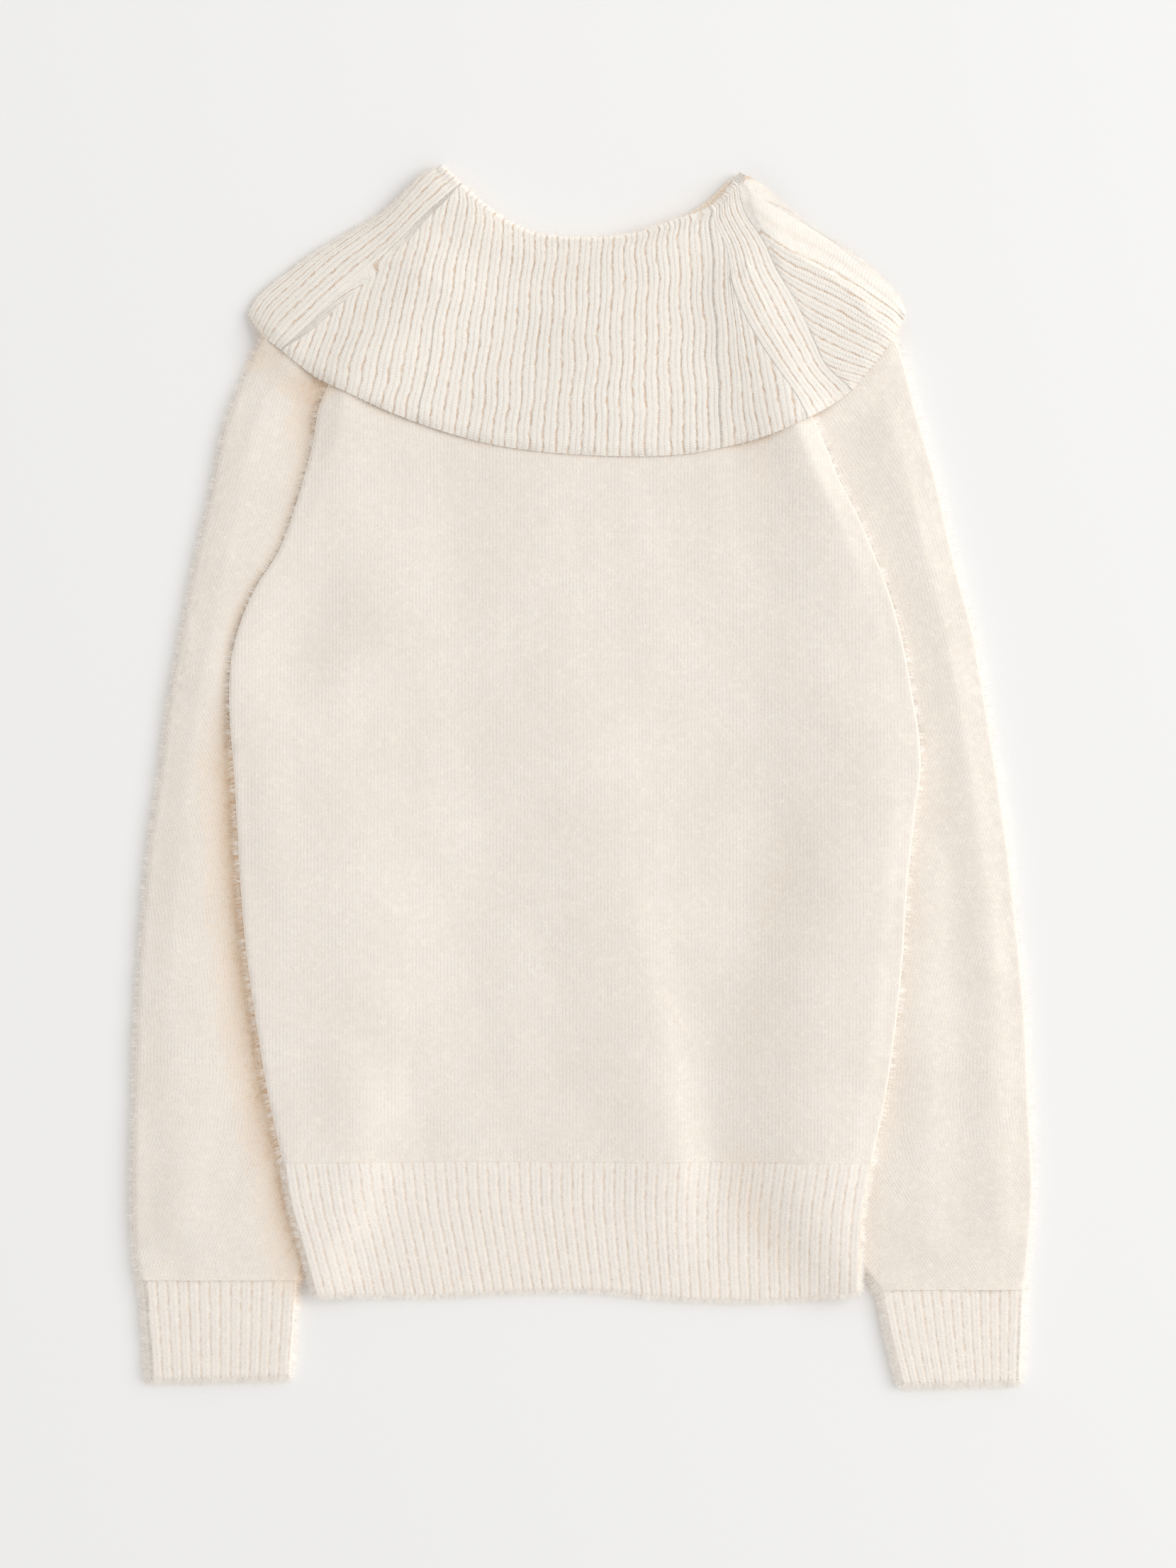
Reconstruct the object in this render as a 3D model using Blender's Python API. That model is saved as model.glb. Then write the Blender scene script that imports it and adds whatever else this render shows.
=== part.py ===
"""Cream off-shoulder sweater in brushed knit, laid flat with its sleeves drawn down.

Every table is in millimetres: x to the garment's right as it is seen from above,
y towards its neck, from the middle of its outline. Z is the height over the surface.
Each layer of cloth rests on the layers already laid under it.
"""

import math

import bmesh
import bpy
import numpy as np

MM = 0.001

# driving sizes
JERSEY = 4.0        # brushed jersey wall
RIB_WALL = 3.2      # rib wall in a groove
RIB_RISE = 1.3      # a rib over its grooves
SEAM = 0.3          # space between two pieces at a seam
HIDDEN_SEAM = 1.6   # space in the plan at the curved seams under the collar and the front
FOLD_GAP = 0.7      # space inside a folded edge
HEM_TOP = -243.9
HEM_RIBS = 55
CUFF_RIBS = 14
ARMPIT = 44.0       # the sleeve closes into a tube below this height
TUBE_TOP = 50.0     # the body lies over the sleeve tubes up to here
UNDERARM_START = 18.0   # between these heights the back's edge leaves the body's side
UNDERARM_END = 42.0
BACK_TOP = 307.0    # top of the panels at their raglan edges
FRONT_TOP = 325.0
PANEL_WIDTH = 400.0

# how far cloth stands off before it drops beside what it lies over
STAND_REACH = 4.0
SLEEVE_REACH = 6.0
LAYER_REACH = 2.0
CAPE_REACH = 8.0
BODY_REACH = 10.0
LOFT = 0.3          # the front lies this much looser than a seam
EDGE_FADE = 12.0    # ridges die away over this distance from an edge
RIDGE_FALL = 1.4    # how quickly a ridge falls to its sides
EDGE_LEAST = 0.985  # a rounded edge keeps a thin rim from here on
ROW_BEND = 2.2      # how soon a panel's rows bend towards the curved neck seam
RAISE_ROUNDS = 12   # cloth is raised off what it touches in at most so many rounds
TOUCH = 0.02        # and counts as clear below this

# points of the meshes: rows along each piece, columns across it
EDGE_STEPS = np.array([0.0, 1.0, 3.0, 7.0])   # from a rounded edge inwards
RIB_EDGE_STEPS = np.array([0.0, 0.8])
INNER_START = 13.0
RIB_START = 2.0
HEM_EDGE = 0.0025   # share of the hem's width outside its ribs
FOLD_ANGLES = np.radians([60, 20, -20, -60])
SLEEVE_ROWS, SLEEVE_COLUMNS = 22, 6
CUFF_ROWS, CUFF_COLUMNS = 4, 8
BACK_ROWS, BACK_COLUMNS = 20, 8
FRONT_ROWS, FRONT_COLUMNS = 21, 15
HEM_ROWS, HIDDEN_RIBS = 4, 12
COLLAR_ROWS, COLLAR_COLUMNS = 6, 26
STAND_ROWS = 2


def table(columns, *rows):
    return {name: np.array(values, float) for name, values in zip(columns.split(), zip(*rows))}


# outline of the front over the sleeves
BODY = table(
    "y left right",
    (-326, -170, 174.8),
    (-295, -178, 175.4),
    (-272, -184.5, 177.4),
    (-244, -189.5, 182.4),
    (-205, -198.0, 190.4),
    (-160, -205.5, 197.0),
    (-115, -212.0, 201.6),
    (-70, -216.0, 204.6),
    (-25, -218.5, 209.4),
    (7, -220.5, 213.0),
    (30, -222.5, 211.7),
    (52, -223.5, 208.0),
    (75, -222.0, 204.0),
    (97, -216.5, 199.0),
    (119, -207.0, 192.4),
    (142, -192.5, 183.4),
    (164, -184.0, 174.0),
    (187, -177.0, 162.2),
    (209, -171.0, 153.2),
    (235, -166.0, 141.5),
    (280, -138.0, 122.0),
    (325, -95.0, 104.0),
)
# seam of panels and collar stand
NECK_SEAM = table(
    "x y",
    (-116, 348),
    (-98, 328),
    (-80, 314),
    (-55, 302),
    (-25, 294),
    (5, 291),
    (35, 293),
    (65, 301),
    (92, 316),
    (106, 329),
    (122, 346),
)
# outer fold and hidden inner edge of each sleeve, from the shoulder to the cuff
LEFT_SLEEVE = table(
    "outer_x outer_y inner_x inner_y back_x back_y",
    (-119, 341, -84, 309, -86, 309),
    (-152, 321, -108, 286, -104, 284),
    (-178, 303, -132, 261, -122, 260),
    (-197, 284, -150, 238, -133, 238),
    (-212, 258, -156, 216, -140, 214),
    (-226, 222, -162, 190, -147, 188),
    (-235, 178, -170, 160, -153, 158),
    (-245.5, 133, -186, 124, -159, 122),
    (-254, 88, -205, 84, -163, 82),
    (-259, 62, -210, 60, -162, 60),
    (-262.5, 40, -192, 40, -162, 40),
    (-268, -2, -170, -2, -159, -2),
    (-274.5, -47, -156, -47, -156, -47),
    (-278.5, -92, -148, -92, -148, -92),
    (-281.5, -137, -142, -137, -142, -137),
    (-283.5, -182, -140, -182, -140, -182),
    (-284.6, -227, -145, -227, -145, -227),
    (-285.0, -265, -160, -265, -160, -265),
    (-284.0, -298, -174, -298, -174, -298),
    (-280.5, -319, -181, -319, -181, -319),
)
RIGHT_SLEEVE = table(
    "outer_x outer_y inner_x inner_y back_x back_y",
    (126, 340, 92, 311, 92, 311),
    (152, 324, 104, 286, 104, 286),
    (174, 309, 113, 262, 116, 262),
    (190, 291, 122, 240, 126, 240),
    (202, 266, 131, 214, 134, 214),
    (211.5, 230, 146, 188, 142, 188),
    (224, 187, 163, 160, 150, 158),
    (234, 142, 176, 124, 158, 122),
    (247, 93, 188, 84, 162, 82),
    (253, 60, 197, 60, 162, 60),
    (256.5, 38, 200, 38, 162, 38),
    (263, -2, 185, -2, 161, -2),
    (269.5, -47, 167, -47, 158, -47),
    (274.5, -92, 149, -92, 149, -92),
    (279.0, -137, 135, -137, 135, -137),
    (281.5, -182, 126, -182, 126, -182),
    (283.5, -227, 126, -227, 126, -227),
    (285.0, -262, 140, -262, 140, -262),
    (282.5, -298, 168, -298, 168, -298),
    (279.5, -325, 187, -325, 187, -325),
)
LEFT_CUFF = table(
    "outer_x outer_y inner_x inner_y",
    (-280.5, -319.3, -181.0, -319.3),
    (-278.0, -350, -183.0, -349.5),
    (-275.6, -384.0, -185.2, -381.5),
)
RIGHT_CUFF = table(
    "outer_x outer_y inner_x inner_y",
    (279.5, -325.3, 187.0, -325.3),
    (278.4, -355, 193.0, -355.5),
    (277.4, -384.5, 201.0, -387.0),
)
HEM_BOTTOM = table(
    "x y",
    (-170, -328.5),
    (-100, -329.0),
    (-35, -326.0),
    (12, -326.0),
    (40, -329.0),
    (113, -332.0),
    (174.5, -327.0),
)
# the collar: neckline fold, side folds, free edge, and the lines where ribs are added
NECKLINE = table(
    "x y",
    (-90.2, 387.0),
    (-84.4, 382.5),
    (-77.6, 375.8),
    (-66.4, 365.9),
    (-55.1, 356.9),
    (-43.9, 349.8),
    (-32.6, 344.7),
    (-10.0, 341.0),
    (12.4, 340.8),
    (34.9, 343.8),
    (48.4, 348.3),
    (61.9, 352.8),
    (73.1, 356.5),
    (79.9, 359.7),
    (86.6, 365.5),
    (95.0, 376.5),
    (99.2, 382.5),
)
BACK_NECKLINE_RISE = table("x rise", (-90, 0), (-70, -5), (0, -6), (60, 0), (76, 5), (92, 5), (99.2, 0))
LEFT_FOLD = table(
    "x y",
    (-90.2, 387.0),
    (-100.1, 381.6),
    (-111.4, 371.3),
    (-124.9, 358.8),
    (-145.1, 347.0),
    (-167.6, 333.9),
    (-190.1, 317.3),
    (-205.9, 304.0),
    (-212.6, 293.0),
)
RIGHT_FOLD = table(
    "x y",
    (99.2, 382.5),
    (113.2, 374.9),
    (124.9, 364.5),
    (135.2, 355.6),
    (147.8, 346.0),
    (160.9, 338.0),
    (173.9, 329.6),
    (184.3, 321.3),
    (193.3, 311.9),
    (202.3, 300.2),
    (204.8, 293.4),
)
FREE_EDGE = table(
    "x y",
    (-212.6, 293.0),
    (-205.0, 281.3),
    (-190.1, 268.5),
    (-168.0, 251.5),
    (-145.1, 240.0),
    (-122.6, 230.0),
    (-100.1, 221.5),
    (-77.6, 214.5),
    (-55.1, 209.0),
    (-32.6, 205.5),
    (-10.0, 203.5),
    (12.4, 202.3),
    (38.0, 202.0),
    (64.1, 203.4),
    (83.5, 206.6),
    (102.8, 210.8),
    (122.2, 216.8),
    (141.5, 225.5),
    (158.2, 235.0),
    (169.9, 244.0),
    (178.9, 254.0),
    (190.6, 268.5),
    (198.2, 279.5),
    (204.8, 293.4),
)
LEFT_LINE = table(
    "x y",
    (-76.5, 375.0),
    (-88.0, 361.5),
    (-96.5, 352.8),
    (-110.5, 337.5),
    (-129.8, 318.5),
    (-150.5, 298.8),
    (-169.9, 282.2),
    (-190.1, 268.5),
)
RIGHT_LINE_1 = table(
    "x y",
    (79.9, 359.7),
    (88.4, 335.3),
    (96.5, 301.5),
    (105.5, 282.2),
    (115.9, 265.5),
    (128.5, 247.8),
    (141.5, 225.5),
)
RIGHT_LINE_2 = table(
    "x y",
    (95.0, 376.5),
    (102.8, 355.5),
    (115.9, 332.6),
    (124.9, 316.0),
    (138.8, 289.5),
    (145.6, 274.8),
    (153.2, 260.1),
    (169.9, 244.0),
)
LEFT_BAND_RIBS = 6
LEFT_BAND_START = 0.42   # share of the left fold along which the band's outer ribs come over
LEFT_BAND_CLEAR = 5.0    # how far those ribs bow away from the fold
LEFT_BAND_ROWS = 7
LEFT_LINE_RIBS = 12
CENTRE_RIBS = 24
RIGHT_LINE_RIBS = 7
RIGHT_BAND_RIBS = 5
RIGHT_WEDGE_RIBS = 11
WEDGE_START = 0.1        # share of its line above the wedge's first rib
HOOK = 0.28              # how far a rib of the wedge runs on down its line before it turns
CAPE_ROWS = 4
NECK_STEP = 400          # steps along a line when its nearest place is looked for
REST_POINTS = 30         # points of a line's rest

# ridges of the front and the sleeves: from (x, y) to (x, y), height and width to each side
FRONT_RIDGES = table(
    "x1 y1 x2 y2 height left_width right_width",
    (-24, 150, -4, 40, 2.0, 64, 60),
    (-4, 40, 28, -83, 3.4, 66, 50),
    (28, -83, 44, -160, 3.6, 66, 24),
    (44, -160, 60, -262, 3.6, 58, 22),
    (-150, 236, -136, 115, 3.4, 22, 44),
    (-136, 115, -118, -30, 3.0, 24, 50),
    (-118, -30, -108, -150, 2.2, 30, 44),
    (142, 220, 150, 133, 3.2, 32, 40),
    (150, 133, 168, 50, 2.8, 32, 38),
    (190, -60, 172, -160, 2.2, 40, 26),
    (172, -160, 160, -262, 2.4, 38, 28),
)
LEFT_SLEEVE_RIDGES = table(
    "x1 y1 x2 y2 height left_width right_width",
    (-218, 215, -240, 60, 2.6, 14, 34),
    (-240, 60, -258, -120, 2.9, 14, 36),
    (-258, -120, -252, -270, 2.6, 18, 36),
)
RIGHT_SLEEVE_RIDGES = table(
    "x1 y1 x2 y2 height left_width right_width",
    (208, 200, 245, 40, 2.9, 20, 12),
    (245, 40, 266, -140, 2.8, 18, 12),
    (266, -140, 268, -280, 2.5, 16, 12),
    (222, -10, 222, -270, 2.4, 18, 16),
)

# surface heights are kept on a square grid of cells
CELL = 2.0
GRID_X = 320.0
GRID_Y = 410.0
LATTICE = 12


def curve(keys, values, at):
    """Values on a smooth curve through the rows of a table."""
    at = np.asarray(at, float)
    order = np.argsort(keys)
    keys, values = keys[order], values[order]
    slopes = np.gradient(values, keys)
    row = np.clip(np.searchsorted(keys, at) - 1, 0, len(keys) - 2)
    span = keys[row + 1] - keys[row]
    f = np.clip((at - keys[row]) / span, 0, 1)
    start = values[row] * (1 + 2 * f) + slopes[row] * span * f
    end = values[row + 1] * (3 - 2 * f) + slopes[row + 1] * span * (f - 1)
    return start * (1 - f) ** 2 + end * f**2


def lengths(points):
    steps = np.linalg.norm(np.diff(points, axis=0), axis=1)
    return np.concatenate([[0.0], np.cumsum(steps)])


def along(line, fractions):
    """Points at fractions of a line's length."""
    points = np.column_stack([line["x"], line["y"]])
    run = lengths(points)
    at = np.asarray(fractions) * run[-1]
    return np.column_stack([curve(run, points[:, 0], at), curve(run, points[:, 1], at)])


def grid_triangles(rows, columns):
    """Two triangles in each cell of a grid of points counted row by row."""
    first = (np.arange(rows - 1)[:, None] * columns + np.arange(columns - 1)).ravel()
    lower = np.column_stack([first, first + 1, first + columns + 1])
    upper = np.column_stack([first, first + columns + 1, first + columns])
    return np.vstack([lower, upper])


def lattice():
    """Even barycentric weights inside a triangle."""
    weights = [
        (i, j, LATTICE - i - j)
        for i in range(LATTICE + 1)
        for j in range(LATTICE + 1 - i)
    ]
    return np.array(weights, float) / LATTICE


WEIGHTS = lattice()


def cells(x, y):
    shape = (int(2 * GRID_X / CELL), int(2 * GRID_Y / CELL))
    i = np.clip(((x + GRID_X) / CELL).astype(int), 0, shape[0] - 1)
    j = np.clip(((y + GRID_Y) / CELL).astype(int), 0, shape[1] - 1)
    return i, j


def neighbours(heights, reach, combine):
    """Each cell's heights within a reach, combined by maximum or mean."""
    n = max(1, round(reach / CELL))
    total = None
    count = 0
    for i in range(-n, n + 1):
        for j in range(-n, n + 1):
            if i * i + j * j > n * n:
                continue
            moved = np.roll(heights, (i, j), (0, 1))
            count += 1
            if total is None:
                total = moved.copy()
            elif combine == "max":
                total = np.maximum(total, moved)
            else:
                total = total + moved
    return total if combine == "max" else total / count


def heap(surfaces):
    """Height of the highest of some surfaces over each cell."""
    top = np.zeros((int(2 * GRID_X / CELL), int(2 * GRID_Y / CELL)))
    for points, triangles in surfaces:
        spots = np.einsum("kw,twc->tkc", WEIGHTS, points[triangles]).reshape(-1, 3)
        i, j = cells(spots[:, 0], spots[:, 1])
        np.maximum.at(top, (i, j), spots[:, 2])
    return top


def sampled(heights, x, y):
    """Heights between the middles of the cells."""
    u = np.clip((x + GRID_X) / CELL - 0.5, 0, heights.shape[0] - 1.001)
    v = np.clip((y + GRID_Y) / CELL - 0.5, 0, heights.shape[1] - 1.001)
    i, j = u.astype(int), v.astype(int)
    f, g = u - i, v - j
    low = heights[i, j] * (1 - f) + heights[i + 1, j] * f
    high = heights[i, j + 1] * (1 - f) + heights[i + 1, j + 1] * f
    return low * (1 - g) + high * g


def rest_on(surfaces, plan, triangles, reach, lift=0.0):
    """Underside heights of cloth that drapes over some surfaces without touching them."""
    top = heap(surfaces)
    cover = neighbours(neighbours(top, reach, "max"), reach, "mean")
    near = neighbours(top, CELL, "max")
    z = sampled(cover, plan[:, 0], plan[:, 1])
    z = np.where(z > 0.01, z + SEAM, 0.0) + lift
    corners = plan[triangles]
    spots = np.einsum("kw,twc->tkc", WEIGHTS, corners)
    i, j = cells(spots[..., 0], spots[..., 1])
    needed = np.where(near[i, j] > 0.01, near[i, j] + SEAM, 0.0)
    for _ in range(RAISE_ROUNDS):
        held = np.einsum("kw,tw->tk", WEIGHTS, z[triangles])
        short = (needed - held).max(axis=1)
        if short.max() < TOUCH:
            break
        raise_by = np.zeros_like(z)
        np.maximum.at(raise_by, triangles.ravel(), np.repeat(np.maximum(short, 0), 3))
        z = z + raise_by
    return z


def ridges(folds, x, y):
    """Height of the soft ridges of a table over a piece's lowest lie."""
    rise = np.zeros_like(x)
    for k in range(len(folds["x1"])):
        start = np.array([folds["x1"][k], folds["y1"][k]])
        run = np.array([folds["x2"][k], folds["y2"][k]]) - start
        f = np.clip(((x - start[0]) * run[0] + (y - start[1]) * run[1]) / (run @ run), 0, 1)
        dx, dy = x - start[0] - f * run[0], y - start[1] - f * run[1]
        side = np.where(dx > 0, folds["right_width"][k], folds["left_width"][k])
        rise = np.maximum(rise, folds["height"][k] * np.exp(-RIDGE_FALL * (dx**2 + dy**2) / side**2))
    return rise


def rim(distance, wall):
    """Share of the wall that is left at a distance from a rounded edge."""
    f = np.clip(1 - distance / wall, 0, EDGE_LEAST)
    return np.sqrt(1 - f**2)


def edge_steps(width, inner):
    """Fractions across a piece, closer at its two rounded edges."""
    middle = np.linspace(INNER_START, width - INNER_START, inner)
    return np.concatenate([EDGE_STEPS, middle, width - EDGE_STEPS[::-1]]) / width


def material(name, hex_colour, roughness):
    made = bpy.data.materials.new(name)
    made.use_nodes = True
    shader = made.node_tree.nodes["Principled BSDF"]
    channels = [int(hex_colour[i : i + 2], 16) / 255 for i in (0, 2, 4)]
    linear = [c / 12.92 if c < 0.04045 else ((c + 0.055) / 1.055) ** 2.4 for c in channels]
    shader.inputs["Base Color"].default_value = (*linear, 1)
    shader.inputs["Roughness"].default_value = roughness
    shader.inputs["Metallic"].default_value = 0.0
    return made


def solid(name, outer, inner, triangles, finish):
    """Closed wall between outer and inner points that share their triangles."""
    count = len(outer)
    faces = [tuple(t) for t in triangles.tolist()]
    inside = [(c + count, b + count, a + count) for a, b, c in faces]
    edges = {}
    for a, b, c in faces:
        for pair in ((a, b), (b, c), (c, a)):
            edges[pair] = edges.get(pair, 0) + 1
    sides = []
    for a, b in edges:
        if (b, a) not in edges:
            sides.append((b, a, a + count))
            sides.append((b, a + count, b + count))
    mesh = bpy.data.meshes.new(name)
    points = np.vstack([outer, inner]) * MM
    mesh.from_pydata(points.tolist(), [], faces + inside + sides)
    shape = bmesh.new()
    shape.from_mesh(mesh)
    if shape.calc_volume(signed=True) < 0:
        bmesh.ops.reverse_faces(shape, faces=shape.faces)
    shape.to_mesh(mesh)
    shape.free()
    mesh.shade_smooth()
    mesh.set_sharp_from_angle(angle=math.radians(50))
    mesh.materials.append(finish)
    piece = bpy.data.objects.new(name, mesh)
    bpy.context.scene.collection.objects.link(piece)
    return piece


def panel_plan(bottom_y, top_y, left_of, right_of, rows, inner):
    """Plan points of a body panel, its rows bending from the hem seam to the neck seam."""
    across = edge_steps(PANEL_WIDTH, inner)
    plan = []
    for f in np.linspace(0, 1, rows):
        edge_y = bottom_y + (top_y - bottom_y) * f
        left, right = left_of(edge_y), right_of(edge_y)
        x = left + (right - left) * across
        seam = curve(NECK_SEAM["x"], NECK_SEAM["y"], x) - HIDDEN_SEAM
        sunk = np.minimum(seam - top_y, 0.0)
        plan.append(np.column_stack([x, edge_y + sunk * f**ROW_BEND]))
    return np.array(plan)


def edge_distance(plan):
    """Distance of grid points from the first and last points of their row."""
    first = np.linalg.norm(plan - plan[:, :1], axis=2)
    last = np.linalg.norm(plan - plan[:, -1:], axis=2)
    return np.minimum(first, last)


def layer(plan, under, wall, distance, face_up, rise=0.0):
    """Low and high points of one layer of cloth, its outer face rounded off at the edges."""
    under = under.reshape(plan.shape[:2])
    left = wall * rim(distance, wall)
    low = under if face_up else under + wall - left
    high = under + left + rise if face_up else under + wall
    return np.dstack([plan, low]), np.dstack([plan, high])


def flat_points(grid):
    return grid.reshape(-1, 3)


def sleeve_side(sections, end, rows, columns, radius, ribs):
    """Plan points of one layer of a sleeve, from its inner edge to where its fold starts."""
    stations = np.linspace(0, 1, rows)
    keys = np.linspace(0, 1, len(sections["outer_x"]))
    read = {name: curve(keys, values, stations) for name, values in sections.items()}
    outer = np.column_stack([read["outer_x"], read["outer_y"]])
    inner = np.column_stack([read[end + "_x"], read[end + "_y"]])
    span = np.linalg.norm(inner - outer, axis=1)
    inward = (inner - outer) / span[:, None]
    near = RIB_EDGE_STEPS if ribs else EDGE_STEPS
    margin = RIB_START if ribs else INNER_START
    columns = 2 * ribs + 1 if ribs else columns
    middle = np.linspace(1, 0, columns)[None, :] * (span[:, None] - margin - radius) + radius
    distance = np.hstack([span[:, None] - near, middle])
    plan = outer[:, None, :] + inward[:, None, :] * distance[:, :, None]
    return plan, outer, inward, distance


def rolled(sections, beneath, rows, columns, wall, folds, ribs=0, back="back"):
    """A sheet wrapped into a flat sleeve: front layer, outer fold and back layer."""
    radius = wall + FOLD_GAP / 2
    behind, outer, inward, from_fold = sleeve_side(sections, back, rows, columns, radius, 0)
    behind, from_fold = behind[:, ::-1], from_fold[:, ::-1]
    back_triangles = grid_triangles(rows, behind.shape[1])
    under = rest_on(beneath, behind.reshape(-1, 2), back_triangles, SLEEVE_REACH)
    to_edge = from_fold[:, -1:] - from_fold
    back_low, back_high = layer(behind, under, wall, to_edge, face_up=False)

    front, outer, inward, from_fold = sleeve_side(sections, "inner", rows, columns, radius, ribs)
    front_triangles = grid_triangles(rows, front.shape[1])
    to_edge = from_fold[:, :1] - from_fold
    loft = np.full(to_edge.shape, FOLD_GAP - SEAM)
    if folds:
        fade = np.clip((from_fold - radius) / EDGE_FADE, 0, 1) * np.clip(to_edge / EDGE_FADE, 0, 1)
        loft += ridges(folds, front[..., 0], front[..., 1]) * fade
    laid = [(flat_points(back_high), back_triangles)]
    under = rest_on(laid, front.reshape(-1, 2), front_triangles, LAYER_REACH, loft.ravel())
    rise = np.zeros(to_edge.shape)
    if ribs:
        rise[:, 3::2] = RIB_RISE
    front_low, front_high = layer(front, under, wall, to_edge, face_up=True, rise=rise)

    fold_outer, fold_inner = [], []
    for angle in FOLD_ANGLES:
        for store, high, low, reach in (
            (fold_outer, front_high[:, -1, 2], back_low[:, 0, 2], radius),
            (fold_inner, front_low[:, -1, 2], back_high[:, 0, 2], FOLD_GAP / 2),
        ):
            z = (high + low) / 2 + (high - low) / 2 * math.sin(angle)
            place = outer + inward * (radius - reach * math.cos(angle))
            store.append(np.column_stack([place, z]))
    outside = np.concatenate([front_high, np.stack(fold_outer, 1), back_low], axis=1)
    inside = np.concatenate([front_low, np.stack(fold_inner, 1), back_high], axis=1)
    return {
        "outer": flat_points(outside),
        "inner": flat_points(inside),
        "triangles": grid_triangles(rows, outside.shape[1]),
        "front_top": (flat_points(front_high), front_triangles),
        "back_top": (flat_points(back_high), back_triangles),
        "back_edge": behind[::-1, -1],
    }


def below(surface, height):
    """The part of a surface that lies below a line across the plan."""
    points, triangles = surface
    return points, triangles[points[triangles][:, :, 1].min(axis=1) < height]


def bridge(first, second, points):
    """Triangles between two neighbouring lines of points, always over the shorter diagonal."""
    made = []
    a, b = 0, 0
    while a < len(first) - 1 or b < len(second) - 1:
        step_a = step_b = math.inf
        if a < len(first) - 1:
            step_a = np.linalg.norm(points[first[a + 1]] - points[second[b]])
        if b < len(second) - 1:
            step_b = np.linalg.norm(points[first[a]] - points[second[b + 1]])
        if step_a <= step_b:
            corners = (first[a], first[a + 1], second[b])
            a += 1
        else:
            corners = (first[a], second[b + 1], second[b])
            b += 1
        if len(set(corners)) == 3:
            made.append(corners)
    return made


class RibSheet:
    """Plan of the fold-over collar: points in columns that follow its ribs."""

    def __init__(self):
        self.points = []
        self.ridge = []
        self.columns = []

    def point(self, place, ridge):
        self.points.append(np.asarray(place, float))
        self.ridge.append(ridge)
        return len(self.points) - 1

    def column(self, start, end, ridge, rows, first=None, beside=None, share=0.0, aside=None):
        """A column from one place to another; first is a point that is already there.

        It bends as the line beside it does, by a share of that line's bow, and it is
        drawn aside towards one more point.
        """
        f = np.linspace(0, 1, rows + 1)[:, None]
        places = start * (1 - f) + end * f
        if beside is not None:
            guide = along(beside, f[:, 0])
            places += share * (guide - guide[0] * (1 - f) - guide[-1] * f)
        if aside is not None:
            places += (aside - (start + end) / 2) * 2 * f * (1 - f)
        ids = [self.point(start, ridge) if first is None else first]
        if np.linalg.norm(end - start) > 1.0:
            ids += [self.point(place, ridge) for place in places[1:]]
        return ids

    def triangles(self):
        points = np.array(self.points)
        made = []
        for left, right in self.columns:
            made += bridge(left, right, points)
        return np.array(made)


def part_of(line, fraction_start, fraction_end, count):
    return along(line, np.linspace(fraction_start, fraction_end, count))


def rest_of(line, fraction):
    """The rest of a line from a fraction of its length on."""
    points = part_of(line, fraction, 1.0, REST_POINTS)
    return {"x": points[:, 0], "y": points[:, 1]}


def nearest_fraction(line, x, y):
    fractions = np.linspace(0, 1, 2 * NECK_STEP)
    spots = along(line, fractions)
    return fractions[np.argmin((spots[:, 0] - x) ** 2 + (spots[:, 1] - y) ** 2)]


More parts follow.
